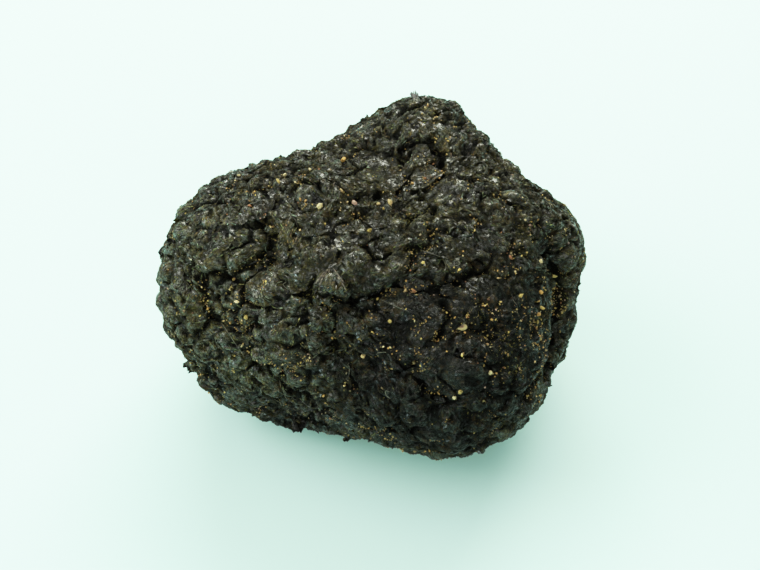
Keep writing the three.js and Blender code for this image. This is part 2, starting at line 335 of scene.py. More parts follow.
# rind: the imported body's warts, rounded off and given their fine relief; lengths in mm
rindSettings = {
    "seed": 11,
    "fillSize": 5.0,            # patches where the grooves between warts are partly grown over
    "fillHeight": 0.8,
    "fillAlways": 0.15,
    "fillContrast": 2.2,
    "fillAcross": (-16.0, 14.0),    # it grows from nothing on the left to its full height on the right
    "grooveCrease": 0.8,
    "rimCrease": (0.1, 0.6),
    "spokeCrease": (0.4, 1.0),  # edges from a crown down to its rim, on the share of them that follows
    "spokeShare": 0.75,
    "rimUneven": (0.4, 1.0),
    "rimStray": 0.2,            # how far a rim corner may stray up or down, and what share of it sideways
    "rimSideways": 0.6,
    "crownStray": 0.25,
    "levels": 2,
    "flatten": (0.26, 0.7),     # how far the warts are pressed flat, outside the patches and in them
    "flattenPatches": (5.0, 21, 0.5, 1.4),   # size, shift, level and contrast of the patches
    "flattenRounds": 60,
    "spikeLimit": 0.28,         # nothing stands out more than this
    "foldLimit": 0.45,          # nor lies further off its surroundings, unless it is in a groove
    "grooveFloor": 0.2,         # a point this far in is in one
    "rounds": {"close": 3, "fold": 8, "wide": 14},   # of smoothing, that say what its surroundings are
    "letOut": 0.3,              # makes up for what the rounding draws in
    "warps": ((2.1, 0.42), (0.9, 0.2)),         # size and reach of the sideways drift of the grooves
    "grooveDepth": (0.04, 0.82),
    "groovePatches": (3.6, 9, 0.45, 1.5),    # stretches of deep groove and of shallow
    "grooveWidth": 0.28,
    "grooveShadeWidth": 0.4,
    "wartEdge": 0.6,            # how far from a groove the relief of a wart is at its full
    "dampEdge": 0.5,
    "flankCalm": 0.7,           # how much plainer relief is on the flank, and how much shallower grooves are
    "flankShallow": 0.6,
    "lumpSize": 2.4,
    "lumpHeight": 0.3,
    "crests": ((2.6, 0.44), (1.25, 0.22)),      # size and height of sharp crests, with hollows between them
    "plates": ((1.9, 0.5), (1.05, 0.55)),       # size and slope of flat scales, each tilted its own way
    "plateRise": 0.22,          # the most that a scale stands out
    "crackSize": 1.8,           # cracks that split a wart
    "crackDepth": 0.3,
    "crackWidth": 0.13,
    "streaksPerMm": 1.25,       # fibres that run down a wart's sides
    "streakPitch": (0.8, 1.3),
    "streakHeight": (0.2, 0.6),
    "radialShare": 0.55,        # of the warts, whose fibres run out from the crown
    "fibreDrift": (1.3, 0.35),
    "crownBlur": 0.3,           # mm round the crown where radial fibres run together
    "radialWander": 0.2,
    "straightPitch": (1.4, 0.25),   # of straight fibres, across them and along
    "evenOut": 0.26,            # lumps and scales never stand out more than this
    "deepest": 0.9,             # nor cut in more than this
    "sunkenShare": 0.25,        # of the warts have a dimple at the crown
    "sunkenDepth": 0.35,
    "sunkenWidth": 0.35,        # as a share of the wart
    "leastPaintedLight": 0.15,
    "cleftStep": 2,             # in the view, as are the size and reach of a cleft's wobble
    "cleftWobble": (9, 4),
    "cleftRagged": (1.1, 0.5),  # size and share by which its width changes
    "cleftReach": 16.0,         # of its points from its middle
    # clefts: points along each one in the view, then its depth and half width in mm
    "clefts": {
        "middle": (((342, 318), (347, 303), (366, 299), (386, 290), (430, 293), (452, 284), (484, 268)),
                   1.0, 0.45),
        "middleLeft": (((284, 284), (300, 292), (318, 296), (347, 303)), 0.8, 0.4),
        "middleDown": (((342, 318), (338, 336), (333, 350)), 0.8, 0.42),
        "aboveLowLump": (((444, 300), (450, 322), (432, 343), (413, 364)), 1.4, 0.5),
        "underLowLump": (((413, 364), (418, 380), (431, 392), (444, 399)), 1.3, 0.5),
        "peakFront": (((388, 160), (400, 164), (407, 182), (421, 200), (432, 211)), 1.2, 0.5),
        "peakCross": (((403, 173), (416, 169), (431, 168)), 0.9, 0.4),
        "peakRing": (((398, 152), (412, 143), (432, 144), (442, 160), (440, 176), (426, 187)), 1.0, 0.45),
        "saddle": (((348, 200), (360, 199), (378, 195)), 1.2, 0.6),
        "shoulder": (((453, 238), (464, 251), (480, 264)), 0.8, 0.4),
        "topMiddle": (((402, 250), (425, 248), (434, 234)), 0.8, 0.4),
        "leftTop": (((200, 277), (232, 275), (252, 265), (270, 254), (272, 236), (258, 222)), 1.1, 0.5),
        "leftDown": (((205, 284), (204, 306), (208, 321), (197, 336)), 1.1, 0.5),
        "lowLeft": (((262, 344), (268, 330), (290, 322), (303, 324)), 0.9, 0.42),
        "footLeft": (((206, 371), (216, 381), (222, 390)), 1.0, 0.6),
        "footMiddle": (((280, 370), (283, 390), (300, 398), (330, 418), (352, 430), (392, 433)), 0.9, 0.5),
        "rightRim": (((546, 254), (557, 268), (561, 290), (558, 316), (555, 340), (547, 372), (528, 396)),
                     1.7, 0.85),
        "rightFoot": (((508, 402), (505, 424), (490, 438)), 0.8, 0.6),
    },
    # stretches of the outline that stand out or lie back a little, with a reach and a height in mm
    "swells": {
        "leftTop": ((175, 236), 6.0, 1.0),
        "leftMiddle": ((162, 262), 3.5, 0.5),
        "leftBrow": ((206, 194), 3.5, -0.6),
        "backKnob": ((257, 170), 3.0, 0.5),
        "peakTop": ((432, 104), 4.0, 0.5),
        "peakRight": ((495, 164), 4.0, 0.9),
        "rightTop": ((567, 219), 6.0, 0.6),
        "rightLow": ((556, 352), 4.0, 0.6),
        "rimTooth": ((573, 294), 0.9, 0.5),
        "rimNotch": ((569, 308), 0.7, -0.5),
        "rimToothLow": ((572, 319), 0.9, 0.6),
        "rimNotchLow": ((563, 330), 0.7, -0.5),
        "rimToothThird": ((563, 339), 0.8, 0.5),
        "rimToothFourth": ((557, 352), 0.8, 0.4),
        "rimToothLast": ((544, 387), 0.8, 0.5),
        "leftFoot": ((194, 368), 3.5, -0.6),
        "lowLump": ((455, 362), 4.0, 1.0),
        "bottomLeft": ((298, 424), 7.0, -0.9),
        "bottomRight": ((482, 450), 4.0, -0.6),
    },
    # the right flank, where soil and fine crumbs have grown the grooves over
    "flank": {
        "spot": (520, 325),
        "reach": 8.5,
    },
    # painted light and shade: spots where the rind is painted lighter as if lit, and darker as if in shade;
    # the spot, the reach in mm and how much
    "paintedLightPatches": {
        "leftSide": ((212, 330), 11.0, 0.9),
        "leftTop": ((225, 240), 9.0, 0.6),
        "top": ((345, 195), 10.0, -0.25),
        "frontFoot": ((452, 405), 11.0, -0.9),
        "frontMiddle": ((370, 385), 8.0, -0.55),
        "lowMiddle": ((440, 330), 7.5, -0.8),
        "flank": ((520, 340), 8.0, -0.5),
    },
    # warts that are damp and shine, where the slivers are also painted lighter as a highlight: the spot and
    # the reach in mm
    "dampSpots": {
        "peakFace": ((420, 156), 1.9),
        "peakFaceLow": ((428, 180), 1.6),
        "peakBrow": ((419, 127), 1.3),
        "saddleFace": ((368, 170), 1.8),
        "underPeak": ((440, 194), 1.6),
        "fan": ((330, 286), 2.1),
        "underCleft": ((352, 318), 1.9),
        "plate": ((398, 305), 2.2),
        "plateEnd": ((436, 316), 1.5),
        "lowLumpEnd": ((430, 361), 1.7),
        "leftMiddle": ((258, 282), 1.5),
        "leftLow": ((260, 320), 1.6),
        "leftEdge": ((177, 281), 1.2),
        "lowMiddle": ((286, 306), 1.7),
        "topMiddle": ((345, 246), 1.7),
        "shoulder": ((468, 243), 1.8),
        "shoulderLow": ((478, 287), 1.6),
    },
    # colours and wetness. Each mask rises from 0 to 1 between its two values, or from its third to its fourth
    "finish": {
        "black": (0.0015, 0.0018, 0.001, 1),
        "brown": (0.015, 0.0145, 0.0062, 1),
        "grey": (0.137, 0.148, 0.106, 1),
        "warm": (0.152, 0.135, 0.046, 1),
        "greyGreen": (0.072, 0.12, 0.09, 1),
        "greenBlack": (0.003, 0.0052, 0.0033, 1),
        "russet": (0.06, 0.034, 0.01, 1),
        "dust": (0.12, 0.112, 0.033, 1),
        "speck": (0.2, 0.18, 0.055, 1),
        "grain": {"Crumb Size": 0.38, "Pit Size": 0.2, "Pits": 1.2},
        "settling": {"Amount": 0.9, "Patch Size": 6.0, "Speck Size": 0.32},
        "facets": {"Facet Size": 0.28, "Tilt": 1.0},
        "noises": {"fibres": (2.6, 4.0, 0.65), "hairs": (6.5, 3.0, 0.7),    # scale, detail and roughness
                   "blotches": (0.5, 5.0, 0.65), "spots": (0.9, 3.0, 0.6)},
        "brownBlotches": (0.35, 0.68),
        "brownByTone": 0.4,
        "brownByPaintedLight": (0.3, 1.0, 0.05, 0.7),
        "raisedBulge": (-0.04, 0.12),
        "raisedStanding": (0.0, 0.45, 0.0, 1.05),
        "raisedPlates": (0.25, 0.75, 0.5, 1.4),
        "footShadeHeights": (2.0, 20.0),     # heights between which the painted shade at the foot of the rind ends
        "lowShades": (0.25, 1.15),
        "fibreFlecks": (0.42, 0.58, 0.35, 1.0),
        "hairFlecks": (0.44, 0.6),
        "grainFlecks": (0.15, 0.85, 0.25, 1.0),
        "fleckShare": 0.95,         # of the light on raised skin, the rest is even
        "raisedShare": 0.85,
        "warmSpots": (0.42, 0.58),
        "greenBlotches": (0.5, 0.62, 0.0, 0.7),
        "flankShare": 0.85,
        "russetSpots": (0.53, 0.66),
        "russetFibres": (0.4, 0.6),
        "russetShare": 0.6,
        "hollow": (-0.12, 0.03, 1.0, 0.0),
        "dustOnLevel": 0.12,
        "dustInHollow": 0.45,
        # painted shade: black where the skin sinks below its surroundings, and in the grooves and clefts
        "cavityShade": (-0.26, 0.07, 0.92, 0.0),
        "grooveShade": 0.95,
        "speckShelter": (0.1, 0.6, 0.3, 1.0),
        "fibreBump": 0.7,
        "grainBump": 0.3,
        "roughness": (0.22, 0.7),
        "crownWet": (0.05, 0.3),
        "crownWetShare": 0.45,
        "wetBlotches": (0.42, 0.66, 0.0, 0.85),
        "glintFacets": (0.5, 0.8),
        "glintHairs": (0.5, 0.62),
        "dustRoughness": 0.9,
        "grooveRoughness": 0.3,
        "specular": 0.08,
        "coat": (0.0, 0.8, 1.0, 0.05),      # film of water on the damp spots, from crown to groove
        "coatByPaintedLight": (0.2, 1.0, 0.4, 1.0),
        "coatRoughness": 0.18,
    },
}


def nearSpot(tree, points, spot, reach):  # 1 at a spot of the view, falling to 0 round it
    place, _ = landOn(tree, *spot)
    if place is None:
        return np.zeros(len(points))
    return bell(np.linalg.norm(points - np.array(place) / mm, axis=1), reach)


def spotField(tree, points, spots, start):  # the amounts of all spots, added to the start
    field = np.full(len(points), start)
    for spot, reach, amount in spots.values():
        field += amount * nearSpot(tree, points, spot, reach)
    return field


def dampField(tree, points):
    return np.max([nearSpot(tree, points, *spot) for spot in rindSettings["dampSpots"].values()], axis=0)


def paintedLightField(tree, points):  # 1 on common rind, more where light is painted on, less where shade is painted on
    return np.maximum(spotField(tree, points, rindSettings["paintedLightPatches"], 1.0), rindSettings["leastPaintedLight"])


def nearFlank(tree, points):  # 1 on the right flank, falling to 0 round it
    return nearSpot(tree, points, **rindSettings["flank"])


def skinTree(*meshes):
    points, faces = [], []
    for mesh in meshes:
        faces += [tuple(corner + len(points) for corner in face.vertices) for face in mesh.polygons]
        points += [tuple(v.co) for v in mesh.vertices]
    return BVHTree.FromPolygons(points, faces)


# the places in mm, lifted onto whatever covers the rind there, and the normals of that
def liftedOnto(tree, places, facing, reach=0.7):
    found = []
    for place, up in zip(places, facing):
        hit, normal, _, _ = tree.ray_cast(Vector((place + up * reach) * mm), Vector(-up), 2 * reach * mm)
        if hit is None:
            hit, normal, _, _ = tree.find_nearest(Vector(place * mm))
        found.append((np.array(hit) / mm, np.array(normal)))
    return np.array([place for place, _ in found]), np.array([normal for _, normal in found])


def nearestOn(tree, places):  # the nearest places on a skin, in mm, and its normals there
    found = [tree.find_nearest(Vector(place))[:2] for place in (places * mm).tolist()]
    return np.array([tuple(place) for place, _ in found]) / mm, np.array([tuple(up) for _, up in found])


def wartCage(node, s):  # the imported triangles, joined back into each wart's band of quads and its fan
    cornerEdges = 9
    cage = bmesh.new()
    cage.from_mesh(node.data)
    bmesh.ops.remove_doubles(cage, verts=cage.verts, dist=1e-6)
    many = {v for v in cage.verts if len(v.link_edges) == cornerEdges}
    corners = {v for v in many if any(e.other_vert(v) in many for e in v.link_edges)}
    rims = {e.other_vert(v) for v in corners for e in v.link_edges} - corners
    diagonals = []
    for face in cage.faces:
        if sum(v in corners for v in face.verts) == 2:
            diagonals += [loop.edge for loop in face.loops if loop.vert in rims]
    bmesh.ops.dissolve_edges(cage, edges=diagonals, use_verts=False)
    cornerList = list(corners)
    overgrown = nearFlank(skinTree(node.data), np.array([tuple(v.co) for v in cornerList]) / mm)
    left, right = s["fillAcross"]
    for corner, onFlank in zip(cornerList, overgrown):
        side = min(max((corner.co.x / mm - left) / (right - left), 0), 1)
        patch = noise.noise(corner.co / (s["fillSize"] * mm)) * s["fillContrast"]
        grown = max(min(max(patch, 0), 1) * side, onFlank)
        corner.co += corner.normal * ((s["fillAlways"] + grown * s["fillHeight"]) * mm)
    return cage, corners, rims


def roughenWarts(cage, corners, rims, s, draw):  # no wart is a regular dome
    for point in cage.verts:
        if point in rims:
            upward = point.normal * draw.normal(0, 1)
            point.co += (upward + Vector(draw.normal(0, s["rimSideways"], 3))) * (s["rimStray"] * mm)
        elif point not in corners:
            point.co += point.normal * (draw.normal(0, 1) * s["crownStray"] * mm)


def markWarts(cage, corners, rims, s, draw):
    wartOf = cage.faces.layers.int.new("wart")
    crease = cage.edges.layers.float.new("crease_edge")
    crowns = [v for v in cage.verts if v not in corners and v not in rims]
    for face in cage.faces:
        face[wartOf] = -1
    for number, crown in enumerate(crowns):
        sharpness = draw.uniform(*s["rimCrease"])
        for spoke in crown.link_edges:
            if draw.random() < s["spokeShare"]:
                spoke[crease] = draw.uniform(*s["spokeCrease"])
        for fan in crown.link_faces:
            fan[wartOf] = number
            for edge in fan.edges:
                if crown not in edge.verts:
                    edge[crease] = sharpness * draw.uniform(*s["rimUneven"])
                    for band in edge.link_faces:
                        band[wartOf] = number
    for edge in cage.edges:
        if edge.verts[0] in corners and edge.verts[1] in corners:
            edge[crease] = s["grooveCrease"]
    return np.array([tuple(crown.co) for crown in crowns])


def roundedMesh(cage, levels):
    mesh = bpy.data.meshes.new("wartCage")
    cage.to_mesh(mesh)
    cage.free()
    carrier = bpy.data.objects.new("wartCage", mesh)
    scene.collection.objects.link(carrier)
    rounding = carrier.modifiers.new("rounding", "SUBSURF")
    rounding.levels = rounding.render_levels = levels
    evaluated = carrier.evaluated_get(bpy.context.evaluated_depsgraph_get())
    fine = bpy.data.meshes.new_from_object(evaluated)
    bpy.data.objects.remove(carrier)
    bpy.data.meshes.remove(mesh)
    return fine


def wartSpan(mesh, count):  # lowest and highest wart number of the faces round each point
    loopVerts = np.empty(len(mesh.loops), int)
    mesh.loops.foreach_get("vertex_index", loopVerts)
    sides = np.array([p.loop_total for p in mesh.polygons])
    faceWart = np.empty(len(mesh.polygons), int)
    mesh.attributes["wart"].data.foreach_get("value", faceWart)
    loopWart = np.repeat(faceWart, sides)
    low = np.full(len(mesh.vertices), count)
    high = np.full(len(mesh.vertices), -1)
    np.minimum.at(low, loopVerts, loopWart)
    np.maximum.at(high, loopVerts, loopWart)
    return low, high


def nearness(points, targets):  # distance to the nearest target, and which one it is
    tree = KDTree(len(targets))
    for number, target in enumerate(targets):
        tree.insert(target, number)
    tree.balance()
    found = [tree.find(p) for p in points]
    return np.array([f[2] for f in found]), np.array([f[1] for f in found])


def alongSegments(starts, ends, shares=(0, 0.25, 0.5, 0.75)):
    return np.concatenate([starts + (ends - starts) * share for share in shares])


def cleftField(tree, points, s):  # how much the clefts of the view take off each point
    take = np.zeros(len(points))
    wobbleSize, wobbleReach = s["cleftWobble"]
    raggedSize, raggedShare = s["cleftRagged"]
    for number, (line, depth, width) in enumerate(s["clefts"].values()):
        spots = []
        for start, end in zip(line, line[1:]):
            steps = max(2, round(math.dist(start, end) / s["cleftStep"]))
            for step in range(steps + 1):
                across, down = np.array(start) + (np.array(end) - np.array(start)) * step / steps
                wobble = noise.noise((across / wobbleSize, down / wobbleSize, number)) * wobbleReach
                place, _ = landOn(tree, across + wobble, down - wobble)
                if place is not None:
                    spots.append(np.array(place) / mm)
        near = np.flatnonzero(np.linalg.norm(points - np.mean(spots, 0), axis=1) < s["cleftReach"])
        away, _ = nearness(points[near], spots)
        ragged = width * (1 + raggedShare * noiseAt(points[near], raggedSize, number))
        take[near] = np.maximum(take[near], depth * bell(away, ragged))
    return take


def smoothed(points, edges, rounds):  # each point drawn to the middle of its neighbours, round after round
    first, second = edges.T
    count = len(points)
    share = 1 / np.bincount(edges.ravel(), minlength=count)

    def middles(column):
        return (np.bincount(first, column[second], count) + np.bincount(second, column[first], count)) * share

    for _ in range(rounds):
        points = np.stack([middles(column) for column in points.T], 1)
    return points


def bulgeOf(points, normals, edges, rounds):  # how far a point stands out from its surroundings
    return ((points - smoothed(points, edges, rounds)) * normals).sum(1)


def fibrePlaces(points, normals, wart, crowns, s, draw):  # each wart's own coordinates along its fibres
    facing = np.zeros((len(crowns), 3))
    np.add.at(facing, wart, normals)
    across = unit(np.cross(unit(facing), unit(draw.normal(size=facing.shape))))
    along = np.cross(unit(facing), across)
    local = points - crowns[wart]
    u, v = (local * across[wart]).sum(1), (local * along[wart]).sum(1)
    reach = np.hypot(u, v)
    radius = np.zeros(len(crowns))
    np.maximum.at(radius, wart, reach)
    radial = (draw.random(len(crowns)) < s["radialShare"])[wart][:, None]
    pitch = (draw.uniform(*s["streakPitch"], len(crowns)) * s["streaksPerMm"])[wart]
    fromCrown = np.maximum(reach, s["crownBlur"])
    turned = np.stack([u / fromCrown, v / fromCrown, reach * s["radialWander"]], 1)
    turned[:, :2] *= (radius[wart] * pitch)[:, None]
    acrossThem, alongThem = s["straightPitch"]
    straight = np.stack([u * pitch * acrossThem, v * pitch * alongThem, reach * 0], 1)
    own = draw.uniform(0, 90, (len(crowns), 3))[wart]
    size, share = s["fibreDrift"]
    fibre = np.where(radial, turned, straight) + share * drift(points, size, 40) + own
    heading = np.where(radial, unit(local), along[wart])
    return fibre, heading, reach / radius[wart]


def flattened(mesh, points, edges, onFlank, s):  # warts pressed flat in patches, most of all on the flank
    _, normals = meshArrays(mesh)
    gentle, full = s["flatten"]
    pressed = np.maximum(patchesAt(points, *s["flattenPatches"]), onFlank)
    pressed = gentle + (full - gentle) * pressed
    points -= normals * (pressed * bulgeOf(points, normals, edges, s["flattenRounds"]))[:, None]
    setPoints(mesh, points * mm)
    return points


def wartRelief(points, calm, onWart, dimple, s):  # how high each point stands, and the tone of its scale
    relief = s["lumpHeight"] * noiseAt(points, s["lumpSize"]) * calm
    for size, height in s["crests"]:
        relief += height * (ridgesAt(points, size, 5, 2) - 0.5) * calm
    plateTone = np.zeros(len(points))
    for size, slope in s["plates"]:
        offset, hashes = platesAt(points, size, size)
        lean = (offset * (hashes - 0.5)).sum(1) * 2 * slope * onWart * calm
        relief += s["plateRise"] * np.tanh(lean / s["plateRise"])
        plateTone += hashes[:, 0] * 0.5
    relief -= s["crackDepth"] * bell(cracksAt(points, s["crackSize"], 3), s["crackWidth"]) * onWart
    relief -= s["sunkenDepth"] * dimple
    relief = np.where(relief > 0, s["evenOut"] * np.tanh(relief / s["evenOut"]), relief)
    return np.maximum(relief, -s["deepest"]), plateTone


def filed(mesh, points, edges, s):  # spikes filed off, stray folds drawn in
    setPoints(mesh, points * mm)
    _, normals = meshArrays(mesh)
    spikes = np.maximum(bulgeOf(points, normals, edges, s["rounds"]["wide"]) - s["spikeLimit"], 0)
    points -= normals * spikes[:, None]
    off = points - smoothed(points, edges, s["rounds"]["fold"])
    far = np.linalg.norm(off, axis=1)
    fold = np.where((off * normals).sum(1) > -s["grooveFloor"], np.maximum(far - s["foldLimit"], 0), 0)
    points -= unit(off) * fold[:, None]
    return np.clip(points, boxLow, boxHigh)


def makeRind(node, s):
    draw = np.random.default_rng(s["seed"])
    cage, corners, rims = wartCage(node, s)
    crowns = markWarts(cage, corners, rims, s, draw) / mm
    roughenWarts(cage, corners, rims, s, draw)
    mesh = roundedMesh(cage, s["levels"])
    mesh.name = "truffle_rind"
    points, normals = meshArrays(mesh)
    points /= mm
    low, wart = wartSpan(mesh, len(crowns))
    edges = edgesOf(mesh)
    inGroove = edges[((low != wart)[edges]).all(1)]
    toGroove, _ = nearness(points, alongSegments(points[inGroove[:, 0]], points[inGroove[:, 1]]))
    fibre, heading, share = fibrePlaces(points, normals, wart, crowns, s, draw)
    tree = skinTree(mesh)
    taken = cleftField(tree, points, s)
    rise = spotField(tree, points, s["swells"], 0.0)
    onFlank = nearFlank(tree, points)
    damp = dampField(tree, points) * np.clip(toGroove / s["dampEdge"], 0, 1)

    sideways = sum(reach * drift(points, size, size) for size, reach in s["warps"])
    points += sideways - normals * (sideways * normals).sum(1, keepdims=True)
    setPoints(mesh, points * mm)
    points = flattened(mesh, points, edges, onFlank, s)
    _, normals = meshArrays(mesh)

    onWart = np.clip(toGroove / s["wartEdge"], 0, 1)
    shallow, deep = s["grooveDepth"]
    grooveDepth = shallow + (deep - shallow) * patchesAt(points, *s["groovePatches"])
    grooveDepth *= 1 - s["flankShallow"] * onFlank
    soft, strong = s["streakHeight"]
    fibrous = (soft + (strong - soft) * draw.random(len(crowns)) ** 1.5)[wart]
    sunken = (draw.random(len(crowns)) < s["sunkenShare"])[wart]
    dimple = sunken * bell(share, s["sunkenWidth"])
    relief, plateTone = wartRelief(points, 1 - s["flankCalm"] * onFlank, onWart, dimple, s)
    streaks = fibrous * (ridgesAt(fibre, 1.0, 0, 2) - 0.45) * onWart
    grooves = grooveDepth * bell(toGroove, s["grooveWidth"])
    push = s["letOut"] + rise + relief + streaks - grooves - taken
    points += normals * push[:, None]
    points = filed(mesh, points, edges, s)

    setPoints(mesh, points * mm)
    _, normals = meshArrays(mesh)
    inCleft = np.clip(taken, 0, 1)
    storeFloats(mesh, {
        "groove": np.maximum(bell(toGroove, s["grooveShadeWidth"]) * grooveDepth / deep, inCleft),
        "bulge": bulgeOf(points, normals, edges, s["rounds"]["close"]),
        "standing": bulgeOf(points, normals, edges, s["rounds"]["wide"]),
        "wartTone": draw.random(len(crowns))[wart],
        "plateTone": plateTone,
        "damp": damp,
        # painted light and shade from the patches, as a factor on the rind's lightness
        "paintedLight": paintedLightField(tree, points),
        "flank": onFlank,
    })
    storeVector(mesh, "fibre", fibre)
    storeVector(mesh, "heading", heading)
    mesh.polygons.foreach_set("use_smooth", [False] * len(mesh.polygons))
    mesh.materials.clear()
    mesh.materials.append(rindMaterial())
    piece = bpy.data.objects.new("truffle_rind", mesh)
    scene.collection.objects.link(piece)
    print(f"rind: {len(crowns)} warts, {len(mesh.polygons)} quads")
    return piece


def rindMaterial():
    s = rindSettings["finish"]
    material, tree, shader = newMaterial("damp_black_rind")
    place = placeInMm(tree)
    names = ("groove", "bulge", "standing", "wartTone", "plateTone", "damp", "paintedLight", "flank")
    groove, bulge, standing, tone, plateTone, dampSpot, paintedLight, flank = (attribute(tree, name) for name in names)
    fibrePlace = attribute(tree, "fibre", "Vector")
    grain = useGroup(tree, fineGrain, s["grain"])
    dust = useGroup(tree, soilDust, s["settling"])
    fibres = noiseTexture(tree, fibrePlace, *s["noises"]["fibres"])
    hairs = noiseTexture(tree, fibrePlace, *s["noises"]["hairs"])
    blotches = noiseTexture(tree, place, *s["noises"]["blotches"])
    spots = noiseTexture(tree, place, *s["noises"]["spots"])

    browner = plus(tree, remap(tree, blotches, *s["brownBlotches"]), times(tree, tone, s["brownByTone"]))
    # less brown, so blacker, where shade is painted
    browner = times(tree, browner, remap(tree, paintedLight, *s["brownByPaintedLight"]), True)
    colour = mixColour(tree, browner, s["black"], s["brown"])
    # partly the rind's own grey, partly painted light: the skin is greyer where it stands out
    raised = plus(tree, remap(tree, bulge, *s["raisedBulge"]), remap(tree, standing, *s["raisedStanding"]))
    raised = times(tree, raised, remap(tree, plateTone, *s["raisedPlates"]))
    height = addNode(tree, "ShaderNodeSeparateXYZ", {0: place}).outputs["Z"]
    # painted shade: darker towards the foot of the rind, then lighter or darker by the painted light and
    # shade patches
    raised = times(tree, raised, remap(tree, height, *s["footShadeHeights"], *s["lowShades"]))
    raised = times(tree, raised, paintedLight)
    fleck = times(tree, remap(tree, fibres, *s["fibreFlecks"]), remap(tree, hairs, *s["hairFlecks"]))
    fleck = times(tree, fleck, remap(tree, grain["Mask"], *s["grainFlecks"]))
    even = plus(tree, 1 - s["fleckShare"], times(tree, fleck, s["fleckShare"]))
    greyer = times(tree, times(tree, raised, even), s["raisedShare"], True)
    warmTint = mixColour(tree, remap(tree, spots, *s["warmSpots"]), s["grey"], s["warm"])
    raisedTint = mixColour(tree, remap(tree, blotches, *s["greenBlotches"]), warmTint, s["greyGreen"])
    colour = mixColour(tree, greyer, colour, raisedTint)
    colour = mixColour(tree, times(tree, flank, s["flankShare"]), colour, s["greenBlack"])
    russet = times(tree, remap(tree, spots, *s["russetSpots"]), remap(tree, fibres, *s["russetFibres"]))
    colour = mixColour(tree, times(tree, russet, s["russetShare"], True), colour, s["russet"])
    hollow = times(tree, remap(tree, bulge, *s["hollow"]), s["dustInHollow"])
    settled = times(tree, dust["Mask"], plus(tree, s["dustOnLevel"], hollow))
    # dust scaled by the painted light and shade
    settled = times(tree, settled, paintedLight, True)
    colour = mixColour(tree, settled, colour, s["dust"])
    # painted shade: black in the grooves, clefts and hollows
    cavityShade = remap(tree, standing, *s["cavityShade"])
    shaded = compute(tree, "MAXIMUM", times(tree, groove, s["grooveShade"]), cavityShade)
    colour = mixColour(tree, shaded, colour, s["black"])
    sheltered = plus(tree, remap(tree, groove, *s["speckShelter"]), flank, True)
    colour = mixColour(tree, times(tree, dust["Specks"], sheltered), colour, s["speck"])
    tree.links.new(colour, shader.inputs["Base Color"])

    bump = {"Height": fibres, "Strength": 1.0, "Distance": s["fibreBump"] * mm}
    normal = addNode(tree, "ShaderNodeBump", bump).outputs["Normal"]
    bump = {"Height": grain["Height"], "Strength": 1.0, "Distance": s["grainBump"] * mm, "Normal": normal}
    normal = addNode(tree, "ShaderNodeBump", bump).outputs["Normal"]
    facets = useGroup(tree, dampFacets, {**s["facets"], "Normal": normal})
    tree.links.new(facets["Normal"], shader.inputs["Normal"])

    low, high = s["roughness"]
    wet = plus(tree, remap(tree, blotches, *s["wetBlotches"]), dampSpot, True)
    wet = plus(tree, wet, times(tree, remap(tree, standing, *s["crownWet"]), s["crownWetShare"]), True)
    glintHairs = remap(tree, hairs, *s["glintHairs"])
    glint = compute(tree, "MAXIMUM", remap(tree, facets["Mask"], *s["glintFacets"]), glintHairs)
    damp = times(tree, glint, wet)
    rough = remap(tree, damp, 0.0, 1.0, high, low)
    rough = plus(tree, rough, times(tree, settled, s["dustRoughness"]))
    rough = plus(tree, rough, times(tree, groove, s["grooveRoughness"]), True)
    tree.links.new(rough, shader.inputs["Roughness"])
    # less coat where shade is painted
    covered = times(tree, remap(tree, groove, *s["coat"]), remap(tree, paintedLight, *s["coatByPaintedLight"]))
    tree.links.new(times(tree, damp, covered), shader.inputs["Coat Weight"])
    shader.inputs["Coat Roughness"].default_value = s["coatRoughness"]
    shader.inputs["Specular IOR Level"].default_value = s["specular"]
    return material


rind = makeRind(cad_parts["truffle"], rindSettings)
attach(rind, "root")
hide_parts("truffle")


# scales of rind with a free edge, lying over the warts and the grooves between them; lengths in mm
scaleSettings = {
    "seed": 63,
    "count": 520,
    "size": (0.6, 1.7),         # half the length, and half the width as a share of it
    "narrow": (0.45, 0.95),
    "stray": 0.4,
    "flankShyness": 0.8,        # how much fewer lie on the flank
    "rings": (0.3, 0.55, 0.78, 1.0, 0.95),
    "sides": 16,
    "wander": 0.2,              # of the rim, in waves with a share of it and a number round the rim
    "waves": ((0.6, 2), (0.45, 3), (0.35, 5)),
    "evenRounds": 10,           # how far the skin is evened out before a scale is laid on it
    "above": (0.05, 0.25),
    "lift": (0.0, 0.25),        # how far the free edge stands up
    "largeAbove": 0.18,         # the same for the large scales
    "largeLift": 0.16,
    "rough": 0.26,
    "bumps": (0.8, 4),          # size and shift
    "bury": 0.4,                # how deep the outermost ring reaches under the skin
    "fibresPerMm": 1.3,
    "fibresAcross": 3,
    "fibresAlong": 0.15,
    "fanReach": 1.3,            # how far behind a scale its fibres meet, as a share of half its length
    "edgeBulge": 0.06,          # painted light at the free edge and on the scale, and painted shade under it
    "edgeStanding": 0.12,
    "standing": 0.12,
    "buriedStanding": 0.5,
    "largeDamp": 0.2,
    "mostDamp": 0.6,
    # the larger scales: the middle and the middle of the free edge in the view, then the width as above
    "large": {
        "peakUpper": ((420, 155), (424, 167), 1.1),
        "peakLower": ((425, 176), (417, 189), 0.8),
        "saddle": ((386, 178), (377, 193), 0.7),
        "plateLeft": ((390, 303), (381, 310), 1.0),
        "plateMiddle": ((416, 303), (412, 312), 1.3),
        "plateRight": ((430, 314), (438, 324), 0.8),
        "shoulder": ((462, 250), (470, 262), 0.9),
        "besideFan": ((366, 276), (364, 291), 0.9),
        "overFan": ((345, 243), (338, 252), 1.0),
        "leftEdge": ((176, 278), (180, 287), 0.9),
        "lowLump": ((432, 358), (423, 369), 1.0),
        "leftMiddle": ((259, 282), (254, 295), 1.0),
    },
}


